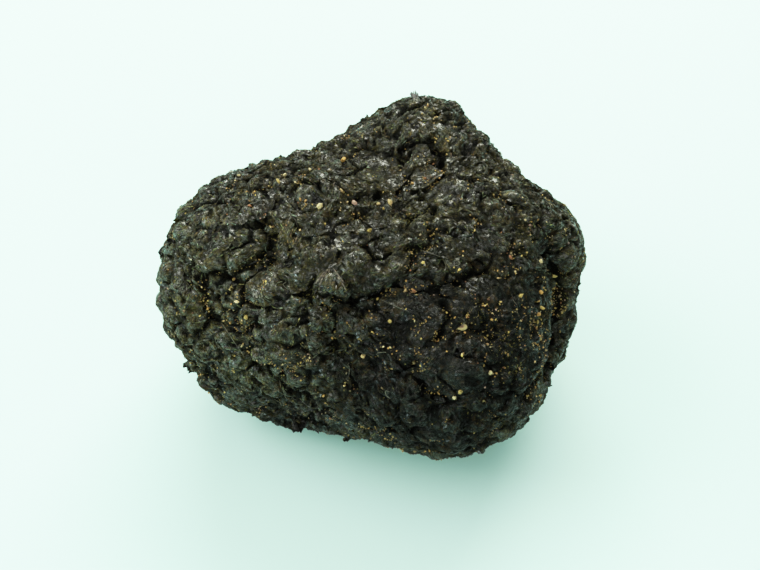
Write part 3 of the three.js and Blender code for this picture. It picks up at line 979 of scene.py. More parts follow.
def placeScales(s, draw):  # middle, facing, direction, half length and narrowness of each scale
    liking = 1 - s["flankShyness"] * readFloat(rind.data, "flank")
    centres, facing, nearest = scatter(rind.data, liking, s["count"], draw)
    along = readVector(rind.data, "heading")[nearest] + draw.normal(0, s["stray"], (s["count"], 3))
    half = draw.uniform(*s["size"], s["count"])
    spots = [(landOn(rindTree, *middle), landOn(rindTree, *edge), wide)
             for middle, edge, wide in s["large"].values()]
    reach = np.array([np.array(edge[0] - middle[0]) / mm for middle, edge, _ in spots])
    centres = np.concatenate([centres, [np.array(middle[0]) / mm for middle, _, _ in spots]])
    facing = np.concatenate([facing, [np.array(middle[1]) for middle, _, _ in spots]])
    along = np.concatenate([along, reach])
    half = np.concatenate([half, np.linalg.norm(reach, axis=1)])
    narrow = np.concatenate([draw.uniform(*s["narrow"], s["count"]), [wide for _, _, wide in spots]])
    return centres, facing, levelled(along, facing), half, narrow


def scaleFaces(ringCount, sides):  # a fan round the middle, then a band of quads for each further ring
    faces = [(0, 1 + step, 1 + (step + 1) % sides) for step in range(sides)]
    for inner in range(ringCount - 1):
        for step in range(sides):
            after = (step + 1) % sides
            low, high = 1 + inner * sides, 1 + (inner + 1) * sides
            faces.append((low + step, high + step, high + after, low + after))
    return faces


def makeScales(s):
    draw = np.random.default_rng(s["seed"])
    points, _ = meshArrays(rind.data)
    level = smoothed(points, edgesOf(rind.data), s["evenRounds"])
    even = BVHTree.FromPolygons(level.tolist(), [tuple(f.vertices) for f in rind.data.polygons])
    centres, facing, along, half, narrow = placeScales(s, draw)
    count = len(centres)
    large = np.arange(count) >= s["count"]
    across = np.cross(facing, along)

    angle = np.linspace(0, 2 * math.pi, s["sides"], endpoint=False)
    phase = draw.uniform(0, 6.3, (len(s["waves"]), count, 1))
    rim = 1 + s["wander"] * sum(share * np.cos(turns * angle + shift)
                                for (share, turns), shift in zip(s["waves"], phase))
    rings = np.array(s["rings"])
    ring = np.concatenate([[0], np.repeat(rings, s["sides"])])
    bearing = np.concatenate([[0], np.tile(angle, len(rings))])
    rim = np.concatenate([np.ones((count, 1)), np.tile(rim, (1, len(rings)))], 1)
    x = ring * rim * np.cos(bearing) * half[:, None]
    y = ring * rim * np.sin(bearing) * (half * narrow)[:, None]
    flat = centres[:, None] + along[:, None] * x[..., None] + across[:, None] * y[..., None]
    points, outward = nearestOn(even, flat.reshape(-1, 3))
    fanAngle = np.arctan2(y, x + s["fanReach"] * half[:, None])
    acrossThem = fanAngle * s["fibresAcross"] * half[:, None] * s["fibresPerMm"]
    fibre = np.stack([acrossThem, x * s["fibresAlong"], np.zeros_like(x)], 2)
    fibre = (fibre + draw.uniform(0, 90, (count, 1, 3))).reshape(-1, 3)
    lift = np.where(large, s["largeLift"], draw.uniform(*s["lift"], count))[:, None]
    above = np.where(large, s["largeAbove"], draw.uniform(*s["above"], count))[:, None]
    height = above + lift * ring ** 2 * np.clip(np.cos(bearing), -0.3, 1)
    streaks = s["rough"] * (ridgesAt(fibre, 1.0, 0, 2) - 0.45)
    height = height.ravel() + streaks + s["rough"] * noiseAt(points, *s["bumps"])
    lowest = np.tile(np.arange(len(ring)) >= len(ring) - s["sides"], count)
    height = np.where(lowest, -s["bury"], height)
    points += outward * height[:, None]

    inside = insideBox(points.reshape(count, -1, 3))
    kept = np.repeat(inside, len(ring))
    points = points[kept]
    oneScale = scaleFaces(len(rings), s["sides"])
    faces = [tuple(corner + len(ring) * number for corner in face)
             for number in range(inside.sum()) for face in oneScale]
    scales = newPiece("rind_scales", points * mm, faces, rind.data.materials[0], smooth=False)

    def perScale(values):
        return np.repeat(values, len(ring))[kept]

    edge = np.tile(ring ** 3 * np.clip(np.cos(bearing), 0, 1), count)[kept]
    storeFloats(scales.data, {
        # painted shade: the buried ring under the free edge is marked as groove and sunk, so it is painted
        # black
        "groove": lowest[kept],
        "bulge": s["edgeBulge"] * edge,
        "standing": s["standing"] + s["edgeStanding"] * edge - s["buriedStanding"] * lowest[kept],
        "wartTone": perScale(draw.random(count)),
        "plateTone": perScale(draw.random(count)),
        "damp": perScale(np.where(large, s["largeDamp"], s["mostDamp"] * draw.random(count) ** 4)),
        "paintedLight": paintedLightField(rindTree, points),
        "flank": nearFlank(rindTree, points),
    })
    storeVector(scales.data, "fibre", fibre[kept])
    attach(scales, "root")
    print(f"scales: {inside.sum()}, each of {len(oneScale)} faces")
    return scales


# soil grains stuck to the rind, most of them in the grooves and on the right flank; sizes in mm
grainSettings = {
    "seed": 23,
    "clusters": 1900,           # grains lie together, up to clusterMost of them
    "clusterMost": 10,
    "spread": (0.15, 0.75),     # how far a cluster reaches
    "size": (0.1, 0.33),
    "bigShare": 0.025,
    "bigSize": (0.35, 0.6),
    "bigTint": (0.9, 1.2),
    "stray": (1.5, 0.5),        # along and across a cluster, as shares of its reach
    "patches": ((4.0, 30, 2.5), (1.2, 60, 1.5)),    # size, shift and contrast
    "patchLimits": (0.02, 1),
    "levelLiking": 0.6,
    "grooveLiking": 5.0,
    "flankLiking": 1.0,
    "sunk": 0.3,
    "tint": (0.35, 1.4),
    "uneven": 0.14,             # how far each corner of a grain strays, and how flat or long a grain may be
    "stretch": (0.35, 1.25),
    "finish": {
        "grain": (6.0, 3.0),    # scale and detail
        "grainShades": (0.3, 0.7, 0.5, 1.0),
        "shade": (0.25, 0.2, 0.14, 1),
        "roughness": 0.6,
        "bump": 0.08,
    },
    "colours": {
        "ochre": (0.30, 0.225, 0.055),
        "amber": (0.31, 0.185, 0.04),
        "cream": (0.44, 0.375, 0.19),
        "tan": (0.35, 0.26, 0.11),
        "rust": (0.2, 0.085, 0.025),
        "pink": (0.30, 0.2, 0.145),
    },
    "shares": {"ochre": 0.44, "amber": 0.27, "cream": 0.08, "tan": 0.12, "rust": 0.07, "pink": 0.02},
    # the larger grains: where each lies in the view, its size and its colour
    "large": {
        "saddleLeft": (343, 160, 0.95, "amber"),
        "backKnob": (279, 182, 0.85, "ochre"),
        "backKnobTop": (285, 176, 0.7, "cream"),
        "backKnobRight": (310, 170, 0.55, "cream"),
        "leftRidge": (240, 176, 0.6, "cream"),
        "leftRidgeOrange": (250, 206, 0.55, "rust"),
        "middleTop": (320, 207, 0.75, "cream"),
        "middleTopPink": (355, 204, 0.75, "pink"),
        "peakRight": (435, 119, 0.7, "tan"),
        "saddleFirst": (390, 203, 0.75, "tan"),
        "saddleSecond": (384, 209, 0.7, "ochre"),
        "saddleThird": (378, 204, 0.55, "tan"),
        "middleRight": (423, 263, 0.7, "ochre"),
        "middle": (369, 231, 0.6, "ochre"),
        "underCleft": (390, 320, 0.8, "ochre"),
        "overCleft": (406, 281, 0.65, "amber"),
        "overCleftSecond": (414, 291, 0.55, "rust"),
        "lowLump": (461, 391, 0.75, "ochre"),
        "lowLumpLeft": (454, 397, 0.55, "cream"),
        "belowMiddle": (364, 356, 0.65, "tan"),
        "lowLumpRight": (489, 373, 0.7, "cream"),
        "flankHigh": (541, 307, 0.8, "ochre"),
        "flankHigher": (540, 292, 0.7, "amber"),
        "flankRowTop": (540, 262, 0.55, "cream"),
        "flankRim": (553, 276, 0.75, "ochre"),
        "flankInner": (520, 296, 0.6, "ochre"),
        "flankRowLow": (537, 322, 0.6, "ochre"),
        "flankRowLower": (538, 314, 0.55, "amber"),
        "leftSlope": (237, 301, 0.65, "cream"),
        "leftSlopeLow": (246, 318, 0.6, "ochre"),
    },
    # a seed husk stuck beside the low lump: a shallow pointed cup with a russet middle; lengths in mm
    "husk": {
        "spot": (461, 327),
        "length": 1.6,
        "width": 1.05,
        "height": 0.3,
        "hollow": 0.45,         # how far the middle sinks, as a share of the height
        "clear": 0.1,
        "pointed": 0.25,
        "middleReach": 0.4,
        "rim": (0.34, 0.30, 0.13),
        "middle": (0.11, 0.055, 0.022),
        "rings": (0.0, 0.3, 0.5, 0.72, 0.9, 1.0),
        "sides": 20,
    },
}


def huskShape(s):  # points, faces and tints of the husk, on the skin with its length across the view
    place, normal = landOn(rindTree, *s["spot"])
    up = unit(np.array(normal) + unit(np.array(camera.location - place)))
    lengthways = unit(np.cross(np.array((0.1, 1.0, 0.2)), up))
    crossways = np.cross(up, lengthways)
    centre = np.array(place) / mm + up * s["clear"]
    points, tints = [], []
    for ring in s["rings"]:
        dome = math.sqrt(1 - ring ** 2) - s["hollow"] * bell(ring, s["middleReach"])
        share = min(max(ring * 2.2 - 0.7, 0), 1)
        for step in range(s["sides"]):
            angle = step * 2 * math.pi / s["sides"]
            pointed = 1 + s["pointed"] * max(-math.cos(angle), 0) ** 6
            points.append(centre + lengthways * math.cos(angle) * ring * pointed * s["length"] / 2
                          + crossways * math.sin(angle) * ring * s["width"] / 2 + up * dome * s["height"])
            tints.append(np.array(s["middle"]) + (np.array(s["rim"]) - s["middle"]) * share)
    faces = []
    for ring in range(len(s["rings"]) - 1):
        for step in range(s["sides"]):
            low, high = ring * s["sides"], (ring + 1) * s["sides"]
            after = (step + 1) % s["sides"]
            faces += [(low + step, high + step, high + after), (low + step, high + after, low + after)]
    return np.array(points), np.array(faces), np.array(tints)


def pebbles(places, normals, sizes, tints, detail, s, draw):  # points, faces and tints of many pebbles
    seedShape = bmesh.new()
    bmesh.ops.create_icosphere(seedShape, subdivisions=detail, radius=0.5)
    shape = np.array([tuple(v.co) for v in seedShape.verts])
    faces = [[v.index for v in f.verts] for f in seedShape.faces]
    seedShape.free()
    count = len(places)
    points = shape[None] * (1 + draw.normal(0, s["uneven"], (count, len(shape), 1)))
    points = points * draw.uniform(*s["stretch"], (count, 1, 3)) * sizes[:, None, None]
    across = unit(draw.normal(size=(count, 3)))
    along = unit(np.cross(across, draw.normal(size=(count, 3))))
    turn = np.stack([across, along, np.cross(across, along)], 1)
    points = np.einsum("nvi,nij->nvj", points, turn)
    points += (places + normals * (sizes * (0.5 - s["sunk"]))[:, None])[:, None]
    inside = insideBox(points)
    points, tints = points[inside], tints[inside]
    faces = repeatedFaces(faces, len(shape), len(points))
    return points.reshape(-1, 3), faces, np.repeat(tints, len(shape), 0)


def scatter(mesh, liking, count, draw):  # places in mm on the mesh, more of them where the liking is higher
    points, normals = meshArrays(mesh)
    quads = np.array([tuple(f.vertices) for f in mesh.polygons])
    weights = np.array([f.area for f in mesh.polygons]) * liking[quads].mean(1)
    chosen = quads[draw.choice(len(quads), count, p=weights / weights.sum())]
    a, b = draw.random((2, count, 1))
    shares = np.stack([(1 - a) * (1 - b), a * (1 - b), a * b, (1 - a) * b])
    places = sum(points[chosen[:, k]] * shares[k] for k in range(4))
    facing = sum(normals[chosen[:, k]] * shares[k] for k in range(4))
    return places / mm, unit(facing), chosen[:, 0]


def soilMaterial(s):
    material, tree, shader = newMaterial("sandy_soil")
    tint = attribute(tree, "tint", "Color")
    grain = noiseTexture(tree, placeInMm(tree), *s["grain"])
    shade = mixColour(tree, remap(tree, grain, *s["grainShades"]), s["shade"], (1, 1, 1, 1))
    tree.links.new(mixColour(tree, 1.0, tint, shade, "MULTIPLY"), shader.inputs["Base Color"])
    shader.inputs["Roughness"].default_value = s["roughness"]
    bump = addNode(tree, "ShaderNodeBump", {"Height": grain, "Distance": s["bump"] * mm})
    tree.links.new(bump.outputs["Normal"], shader.inputs["Normal"])
    return material


def smallGrains(s, draw):
    points = meshArrays(rind.data)[0] / mm
    patches = sum(noiseAt(points, size, shift) * contrast for size, shift, contrast in s["patches"])
    liking = np.clip(patches, *s["patchLimits"])
    liking = liking * (s["levelLiking"] + s["grooveLiking"] * readFloat(rind.data, "groove"))
    liking += s["flankLiking"] * nearFlank(rindTree, points)
    centres, facing, _ = scatter(rind.data, liking, s["clusters"], draw)
    members = np.ceil(s["clusterMost"] * draw.random(s["clusters"]) ** 2.2).astype(int)
    cluster = np.repeat(np.arange(s["clusters"]), members)
    count = len(cluster)
    lengthways = unit(np.cross(facing, draw.normal(size=facing.shape)))[cluster]
    crossways = np.cross(facing[cluster], lengthways)
    reach = draw.uniform(*s["spread"], s["clusters"])[cluster][:, None]
    far, near = s["stray"]
    astray = lengthways * draw.normal(0, far, (count, 1)) + crossways * draw.normal(0, near, (count, 1))
    places, facing = liftedOnto(rindTree, centres[cluster] + astray * reach, facing[cluster])
    low, high = s["size"]
    sizes = low + (high - low) * draw.random(count) ** 1.6
    big = draw.random(count) < s["bigShare"]
    sizes[big] = draw.uniform(*s["bigSize"], big.sum())
    names = draw.choice(list(s["shares"]), count, p=list(s["shares"].values()))
    tints = np.array([s["colours"][name] for name in names]) * draw.uniform(*s["tint"], (count, 1))
    return pebbles(places, facing, sizes, tints, 1, s, draw)


def largeGrains(s, draw):
    spots = [(landOn(rindTree, across, down), size, colour)
             for across, down, size, colour in s["large"].values()]
    spots = [spot for spot in spots if spot[0][0] is not None]
    places = np.array([tuple(place) for (place, _), _, _ in spots]) / mm
    facing = np.array([tuple(normal) for (_, normal), _, _ in spots])
    sizes = np.array([size for _, size, _ in spots])
    tints = np.array([s["colours"][colour] for _, _, colour in spots])
    tints = tints * draw.uniform(*s["bigTint"], (len(spots), 1))
    return pebbles(places, facing, sizes, tints, 2, s, draw)


def makeGrains(s):
    draw = np.random.default_rng(s["seed"])
    points, faces, tints, count = [], [], [], 0
    for some in (smallGrains(s, draw), largeGrains(s, draw), huskShape(s["husk"])):
        points.append(some[0])
        faces.append(some[1] + count)
        tints.append(some[2])
        count += len(some[0])
    points, faces, tints = (np.concatenate(parts) for parts in (points, faces, tints))
    grains = newPiece("soil_grains", points * mm, faces, soilMaterial(s["finish"]), smooth=False)
    storeTint(grains.data, tints, np.zeros(len(tints)))
    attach(grains, "root")
    print(f"grains: {len(faces)} triangles")


# slivers of dry rind that stand off the warts, most of them along the wart's own fibres; lengths in mm
sliverSettings = {
    "seed": 41,
    "count": 14000,
    "length": (0.2, 0.65),
    "width": (0.06, 0.13),
    "stray": 0.25,
    "lift": 0.1,
    "tufts": (1.5, 70, 0.35, 2.6, 0.08),    # they stand in tufts: size, shift, level, contrast and least
    "flankShyness": 0.7,
    "shade": 0.66,              # how light they are on level skin, and how much more where it stands out: painted light
    "shadeByBulge": 5.0,
    "shadeByRise": 1.1,
    "shadeByTone": (0.65, 0.7),
    "shadeLow": (0.25, 0.9),    # painted shade at the foot of the rind, and how much lighter above it
    "shadeLimits": (0.08, 1.6),
    "mostPaintedLight": 1.1,
    "warmPatches": (6.0, 90, 0.5, 1.5),     # warm and greenish rind
    "yellowPatches": (1.1, 15, 0.5, 1.8),   # smaller ones, yellow and neutral
    "tint": (0.45, 1.3),
    "raised": 0.3,              # of the width, its middle line over the skin, and its crest over that
    "crest": 0.6,
    "finish": {
        "grain": (3.2, 3.0),
        "grainShades": (0.35, 0.65, 0.25, 1.3),
        "roughness": (0.55, 0.2),   # from dull to glossy
        "specular": 0.25,
    },
    "colours": {
        "greyOlive": (0.076, 0.084, 0.046),
        "pale": (0.2, 0.2, 0.14),
        "brown": (0.06, 0.042, 0.019),
        "straw": (0.19, 0.15, 0.045),
        "black": (0.003, 0.0035, 0.002),
    },
    "shares": {"greyOlive": 0.52, "pale": 0.06, "brown": 0.2, "straw": 0.02, "black": 0.2},
    "casts": {
        "warm": (1.08, 1.0, 0.88),
        "greenish": (0.84, 1.06, 1.0),
        "yellow": (1.1, 1.0, 0.52),
        "neutral": (0.93, 0.97, 1.2),
        "flank": (0.4, 0.58, 0.46),
    },
}


def sliverMaterial():
    s = sliverSettings["finish"]
    material, tree, shader = newMaterial("dry_rind_sliver")
    patchy = remap(tree, noiseTexture(tree, placeInMm(tree), *s["grain"]), *s["grainShades"])
    shade = addNode(tree, "ShaderNodeCombineColor", {0: patchy, 1: patchy, 2: patchy}).outputs[0]
    tint = mixColour(tree, 1.0, attribute(tree, "tint", "Color"), shade, "MULTIPLY")
    tree.links.new(tint, shader.inputs["Base Color"])
    gloss = attribute(tree, "tint", "Alpha")
    tree.links.new(remap(tree, gloss, 0.0, 1.0, *s["roughness"]), shader.inputs["Roughness"])
    shader.inputs["Specular IOR Level"].default_value = s["specular"]
    return material


def flakeTint(s=sliverSettings):  # how light a flake is at each of the skin's points, in three colours: painted light where the skin stands out, painted shade in hollows, at the foot and in the darker patches
    points = meshArrays(rind.data)[0] / mm
    casts = {name: np.array(cast) for name, cast in s["casts"].items()}
    shade = s["shade"] + readFloat(rind.data, "bulge") * s["shadeByBulge"]
    shade += readFloat(rind.data, "standing") * s["shadeByRise"]
    least, more = s["shadeByTone"]
    shade = np.clip(shade * (least + more * readFloat(rind.data, "wartTone")), *s["shadeLimits"])
    low, high = rindSettings["finish"]["footShadeHeights"]
    least, more = s["shadeLow"]
    # painted shade towards the foot, and the painted light and shade patches
    shade *= least + more * np.clip((points[:, 2] - low) / (high - low), 0, 1)
    shade *= np.minimum(readFloat(rind.data, "paintedLight"), s["mostPaintedLight"])
    warm = patchesAt(points, *s["warmPatches"])[:, None]
    cast = warm * casts["warm"] + (1 - warm) * casts["greenish"]
    yellow = patchesAt(points, *s["yellowPatches"])[:, None]
    cast *= yellow * casts["yellow"] + (1 - yellow) * casts["neutral"]
    onFlank = nearFlank(rindTree, points)[:, None]
    return (cast * (1 - onFlank) + onFlank * casts["flank"]) * shade[:, None]


def makeSlivers(s):
    draw = np.random.default_rng(s["seed"])
    points = meshArrays(rind.data)[0] / mm
    groove, damp = readFloat(rind.data, "groove"), readFloat(rind.data, "damp")
    liking = (1.05 - np.clip(groove, 0, 1)) * patchesAt(points, *s["tufts"])
    liking *= 1 - s["flankShyness"] * nearFlank(rindTree, points)
    places, facing, nearest = scatter(rind.data, liking, s["count"], draw)
    places, facing = liftedOnto(rindTree, places, facing)
    along = readVector(rind.data, "heading")[nearest] + draw.normal(0, s["stray"], (s["count"], 3))
    along = levelled(along, facing)
    along = unit(along + facing * draw.uniform(0, s["lift"], (s["count"], 1)))
    across = np.cross(along, facing)
    length = draw.uniform(*s["length"], (s["count"], 1))
    width = draw.uniform(*s["width"], (s["count"], 1))
    middle = places + facing * width * s["raised"]
    tips = [middle - along * length * 0.5, middle + along * length * 0.5]
    waist = [middle + across * width * 0.5, middle - across * width * 0.5]
    crest = middle + facing * width * s["crest"]
    points = np.stack([*tips, *waist, crest], 1)
    faces = [(0, 2, 4), (0, 4, 3), (0, 3, 2), (1, 4, 2), (1, 3, 4), (1, 2, 3)]
    names = draw.choice(list(s["shares"]), s["count"], p=list(s["shares"].values()))
    tints = np.array([s["colours"][name] for name in names]) * draw.uniform(*s["tint"], (s["count"], 1))
    # painted light and shade of the skin beneath, and a painted highlight that lightens slivers on the damp
    # spots
    tints *= flakeTint()[nearest] * (1 + damp[nearest])[:, None]
    gloss = np.clip(draw.random(s["count"]) ** 3 + damp[nearest] * 0.5, 0, 1)
    inside = insideBox(points)
    corners = points.shape[1]
    points, tints, gloss = points[inside], tints[inside], gloss[inside]
    faces = repeatedFaces(faces, corners, len(points))
    slivers = newPiece("rind_slivers", points.reshape(-1, 3) * mm, faces, sliverMaterial(), smooth=False)
    storeTint(slivers.data, np.repeat(tints, corners, 0), np.repeat(gloss, corners))
    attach(slivers, "root")
    print(f"slivers: {len(faces)} triangles")


# low ridges that run down a wart from its crown, with painted light along the crest and painted shade, near
# black, at the foot; lengths in mm
ridgeSettings = {
    "seed": 57,
    "count": 6000,
    "length": (0.5, 1.5),
    "width": (0.15, 0.36),
    "height": (0.05, 0.14),
    "stray": 0.3,
    "points": 4,
    # ridges of the fan-shaped wart, from end to end in the view
    "fan": (((329, 268), (316, 289)), ((329, 268), (321, 295)), ((330, 268), (328, 297)),
            ((331, 268), (335, 299)), ((332, 269), (342, 296)), ((333, 268), (345, 287))),
    "fanWidth": 0.36,
    "fanHeight": 0.2,
    # painted highlight: the fan's crests are pale pinkish grey
    "fanHighlightTint": (0.19, 0.16, 0.12),
    "sunk": 0.04,
    "flankShyness": 0.6,
    "toneLiking": (1.6, 0.2),   # they like some warts more than others
    "taper": (0.1, 0.3),
    "footShade": 0.08,          # painted shade at the foot, as a share of the crest's lightness
    "tint": (0.3, 1.1),
    "shares": {"greyOlive": 0.65, "brown": 0.35},       # of the slivers' colours
}


def makeRidges(s):
    draw = np.random.default_rng(s["seed"])
    points, _ = meshArrays(rind.data)
    groove, tone = readFloat(rind.data, "groove"), readFloat(rind.data, "wartTone")
    slope, drop = s["toneLiking"]
    liking = (1.05 - np.clip(groove, 0, 1)) * np.clip(tone * slope - drop, 0.15, 1)
    liking = liking * (1 - s["flankShyness"] * nearFlank(rindTree, points / mm))
    places, facing, nearest = scatter(rind.data, liking, s["count"], draw)
    along = readVector(rind.data, "heading")[nearest] + draw.normal(0, s["stray"], (s["count"], 3))
    step = draw.uniform(*s["length"], (s["count"], 1)) / (s["points"] - 1)
    width, height = (draw.uniform(*s[key], (s["count"], 1)) for key in ("width", "height"))
    # painted light and shade of the skin beneath
    lightness = flakeTint()[nearest] * draw.uniform(*s["tint"], (s["count"], 1))
    names = draw.choice(list(s["shares"]), s["count"], p=list(s["shares"].values()))
    crestTint = np.array([sliverSettings["colours"][name] for name in names]) * lightness
    ends = [(landOn(rindTree, *begin), landOn(rindTree, *end)) for begin, end in s["fan"]]
    fanAlong = np.array([np.array(end[0] - begin[0]) / mm for begin, end in ends])
    fanStep = np.linalg.norm(fanAlong, axis=1)[:, None] / (s["points"] - 1)
    places = np.concatenate([places, [np.array(begin[0]) / mm for begin, _ in ends]])
    facing = np.concatenate([facing, [np.array(begin[1]) for begin, _ in ends]])
    along, step = np.concatenate([along, fanAlong]), np.concatenate([step, fanStep])
    width = np.concatenate([width, draw.uniform(0.6, 1.3, (len(ends), 1)) * s["fanWidth"]])
    height = np.concatenate([height, np.full((len(ends), 1), s["fanHeight"])])
    crestTint = np.concatenate([crestTint, [s["fanHighlightTint"]] * len(ends)])
    rows = []
    startTaper, endTaper = s["taper"]
    for taper in np.sin(np.linspace(startTaper, math.pi - endTaper, s["points"])):
        along = levelled(along, facing)
        half = np.cross(along, facing) * width * taper / 2
        foot = places - facing * s["sunk"]
        rows.append((foot + half, places + facing * height * taper, foot - half))
        places, facing = nearestOn(rindTree, places + along * step)
    points = np.stack([point for row in rows for point in row], 1)
    faces = []
    for row in range(s["points"] - 1):
        left, crest, right, nextLeft, nextCrest, nextRight = range(row * 3, row * 3 + 6)
        faces += [(left, crest, nextCrest, nextLeft), (crest, right, nextRight, nextCrest)]
    # painted shade: the feet near black, the crest at its full colour
    shares = np.array([s["footShade"], 1.0, s["footShade"]] * s["points"])
    tints = crestTint[:, None] * shares[None, :, None]
    inside = insideBox(points)
    points, tints = points[inside], tints[inside]
    faces = repeatedFaces(faces, 3 * s["points"], len(points))
    ridges = newPiece("rind_ridges", points.reshape(-1, 3) * mm, faces, sliverMaterial(), smooth=False)
    storeTint(ridges.data, tints.reshape(-1, 3), np.zeros(tints.size // 3))
    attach(ridges, "root")
    print(f"ridges: {len(faces) * 2} triangles")


# thin root and fungus threads that lie on the rind; lengths in mm
threadSettings = {
    "seed": 5,
    "count": 70,
    "radius": (0.025, 0.045),
    "length": (1.6, 6.0),
    "step": 0.22,
    "bend": 0.5,
    "lift": 0.05,
    "sides": 5,
    "clear": 0.02,              # left free inside the body's reach
    "likingFalls": (40, 18),    # mm to the right and to the back over which they grow rare
    "likingLimits": (0.15, 2.5),
    "longLift": 0.12,
    "easing": 3,                # rounds that span small hollows, for common and for long threads
    "longEasing": 6,
    "dark": (0.025, 0.022, 0.012, 1),
    "pale": (0.13, 0.13, 0.08, 1),
    "tuftDark": (0.006, 0.006, 0.004, 1),
    "streaks": (0.6, 2.0),
    "streakMask": (0.35, 0.65),
    "roughness": 0.5,
    # threads that stand out: where each begins and ends in the view
    "long": {
        "leftLow": ((222, 323), (245, 357)),
        "footLeft": ((226, 376), (253, 404)),
        "footMiddle": ((268, 396), (292, 408)),
        "lowLumpRim": ((420, 250), (448, 259)),
        "plateEdge": ((381, 300), (409, 312)),
    },
    "tuft": {
        "seed": 3,
        "spot": (415, 99),
        "count": 14,
        "spread": 0.22,
        "length": (1.2, 2.0),
        "radius": (0.09, 0.2),
        "lean": (-0.15, 1.0, 0.05),
        "stray": 0.3,
        "curl": 0.25,
    },
}


def tube(path, radius, sides):  # a thin tapered tube along a path
    steps = unit(np.gradient(path, axis=0))
    side = unit(np.cross(steps, (0.3, 0.5, 0.81)))
    other = np.cross(steps, side)
    taper = np.sqrt(np.sin(np.linspace(0.12, math.pi - 0.12, len(path))))[:, None, None] * radius
    angles = np.arange(sides) * 2 * math.pi / sides
    ring = side[:, None] * np.cos(angles)[None, :, None] + other[:, None] * np.sin(angles)[None, :, None]
    points = (path[:, None] + ring * taper).reshape(-1, 3)
    faces = []
    for row in range(len(path) - 1):
        for k in range(sides):
            low, high = row * sides, (row + 1) * sides
            faces.append((low + k, low + (k + 1) % sides, high + (k + 1) % sides, high + k))
    return points, faces


def eased(path, rounds):  # spans small hollows instead of dipping into each
    for _ in range(rounds):
        path[1:-1] = 0.25 * path[:-2] + 0.5 * path[1:-1] + 0.25 * path[2:]
    return path


def crawl(start, heading, length, s, draw):  # a path over the skin from a start, in mm
    place, path = Vector(start * mm), []
    for _ in range(max(4, round(length / s["step"]))):
        onSkin, normal, _, _ = rindTree.find_nearest(place)
        path.append(np.array(onSkin) / mm + np.array(normal) * s["lift"])
        heading = heading + Vector(draw.normal(0, s["bend"], 3))
        heading = (heading - normal * heading.dot(normal)).normalized()
        place = onSkin + heading * (s["step"] * mm)
    return eased(np.array(path), s["easing"])


def threadMaterial(s):
    material, tree, shader = newMaterial("dry_root_thread")
    along = noiseTexture(tree, placeInMm(tree), *s["streaks"])
    colour = mixColour(tree, remap(tree, along, *s["streakMask"]), s["dark"], s["pale"])
    colour = mixColour(tree, attribute(tree, "inTuft"), colour, s["tuftDark"])
    tree.links.new(colour, shader.inputs["Base Color"])
    shader.inputs["Roughness"].default_value = s["roughness"]
    return material


def crawlingPaths(s, draw):
    points = meshArrays(rind.data)[0] / mm
    toRight, toBack = s["likingFalls"]
    liking = np.clip(1.4 - points[:, 1] / toBack - points[:, 0] / toRight, *s["likingLimits"])
    starts, _, _ = scatter(rind.data, liking, s["count"], draw)
    paths = []
    for start in starts:
        heading = Vector(unit(draw.normal(size=3)))
        paths.append(crawl(start, heading, draw.uniform(*s["length"]), s, draw))
    return paths


def longPaths(s):
    paths = []
    for begin, end in s["long"].values():
        line = [np.array(begin) + (np.array(end) - np.array(begin)) * t for t in np.linspace(0, 1, 22)]
        found = [landOn(rindTree, *spot) for spot in line]
        path = [np.array(place) / mm + np.array(up) * s["longLift"]
                for place, up in found if place is not None]
        paths.append(eased(np.array(path), s["longEasing"]))
    return paths


def tuftPaths(s, draw):
    root, _ = landOn(rindTree, *s["spot"])
    paths = []
    for _ in range(s["count"] if root is not None else 0):
        foot = np.array(root) / mm + draw.normal(0, s["spread"], 3)
        up = unit(np.array(s["lean"]) + draw.normal(0, s["stray"], 3)) * draw.uniform(*s["length"])
        curl = draw.normal(0, s["curl"], 3)
        paths.append(np.array([foot + up * t + curl * t * t for t in np.linspace(-0.2, 1, 7)]))
    return paths


def makeThreads(s):
    paths = crawlingPaths(s, np.random.default_rng(s["seed"])) + longPaths(s)
    firstOfTuft = len(paths)
    draw = np.random.default_rng(s["tuft"]["seed"])
    paths += tuftPaths(s["tuft"], draw)
    points, faces, marks = [], [], []
    for number, path in enumerate(paths):
        inTuft = number >= firstOfTuft
        radius = draw.uniform(*(s["tuft"] if inTuft else s)["radius"])
        path = np.clip(path, boxLow + radius + s["clear"], boxHigh - radius - s["clear"])
        ring, bands = tube(path, radius, s["sides"])
        marks += [float(inTuft)] * len(ring)
        faces += [tuple(k + len(points) for k in band) for band in bands]
        points += ring.tolist()
    threads = newPiece("root_threads", np.array(points) * mm, faces, threadMaterial(s))
    storeFloats(threads.data, {"inTuft": np.array(marks)})
    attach(threads, "root")
    print(f"threads: {len(paths)} paths, {len(faces)} faces")


rindTree = skinTree(rind.data)
scales = makeScales(scaleSettings)
rindTree = skinTree(rind.data, scales.data)
makeGrains(grainSettings)
makeSlivers(sliverSettings)
makeRidges(ridgeSettings)
makeThreads(threadSettings)


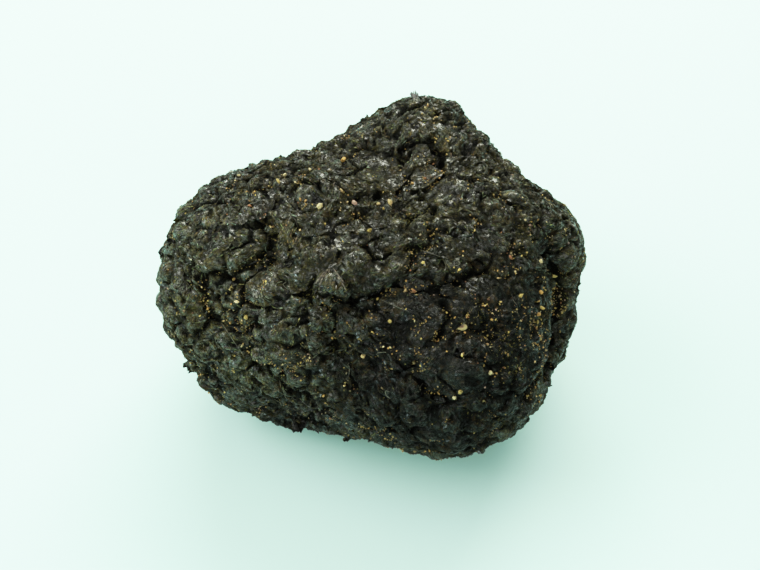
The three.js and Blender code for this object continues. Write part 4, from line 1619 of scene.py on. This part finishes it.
# pale table, and six lights: a window behind, wide ones overhead, on the left and in front, a low cool one
# that grazes the lower left, and the room's own
tableSettings = {
    "halfSize": 1.2,
    "colour": (0.47, 0.745, 0.675, 1),
    "roughness": 0.7,
    "specular": 0.2,
}
lightSettings = {
    "softboxes": {
        "window": {"place": (0.1, 0.6, 0.5), "size": (0.7, 0.45), "power": 12.0,
                   "colour": (0.98, 1.0, 0.88)},
        "overhead": {"place": (-0.2, 0.1, 1.0), "size": (1.4, 1.4), "power": 10.0,
                     "colour": (0.97, 1.0, 0.92)},
        "leftSide": {"place": (-0.75, 0.1, 0.5), "size": (0.7, 0.7), "power": 9.0,
                     "colour": (0.97, 1.0, 0.92)},
        "front": {"place": (0.1, -0.85, 0.45), "size": (0.9, 0.6), "power": 4.8,
                  "colour": (0.95, 1.0, 0.94)},
        "lowLeft": {"place": (-0.6, -0.45, 0.07), "size": (0.5, 0.1), "power": 3.2,
                    "colour": (0.72, 1.0, 1.0)},
    },
    "roomColour": (0.97, 1.0, 0.92),
    "roomStrength": 0.42,
}
# response of a compact camera: light up to whiteLevel, with a shoulder that holds back the pale table
responseSettings = {
    "whiteLevel": 3.0,
    "points": ((0.0667, 0.2), (0.133, 0.43), (0.205, 0.6), (0.3, 0.74), (0.5, 0.9), (0.72, 0.965)),
}


def makeTable(s):
    material, _, shader = newMaterial("pale_table_top")
    shader.inputs["Base Color"].default_value = s["colour"]
    shader.inputs["Roughness"].default_value = s["roughness"]
    shader.inputs["Specular IOR Level"].default_value = s["specular"]
    half = s["halfSize"]
    corners = [(-half, -half, 0), (half, -half, 0), (half, half, 0), (-half, half, 0)]
    newPiece("table", corners, [(0, 1, 2, 3)], material, smooth=False)


def makeSoftbox(name, s):
    data = bpy.data.lights.new(name, "AREA")
    data.shape = "RECTANGLE"
    data.size, data.size_y = s["size"]
    data.energy = s["power"]
    data.color = s["colour"]
    lamp = bpy.data.objects.new(name, data)
    lamp.location = s["place"]
    lamp.rotation_euler = (-Vector(s["place"])).to_track_quat("-Z", "Y").to_euler()
    scene.collection.objects.link(lamp)


def makeRoom(s):
    for name, lamp in s["softboxes"].items():
        makeSoftbox(name + "Light", lamp)
    world = bpy.data.worlds.new("paleRoom")
    world.use_nodes = True
    background = world.node_tree.nodes["Background"].inputs
    background["Color"].default_value = (*s["roomColour"], 1)
    background["Strength"].default_value = s["roomStrength"]
    scene.world = world


def setResponse(s):
    view = scene.view_settings
    view.view_transform = "Standard"
    view.use_curve_mapping = True
    view.curve_mapping.white_level = [s["whiteLevel"]] * 3
    for across, up in s["points"]:
        view.curve_mapping.curves[3].points.new(across, up)
    view.curve_mapping.update()


makeTable(tableSettings)
makeRoom(lightSettings)
setResponse(responseSettings)
print("table and light set")
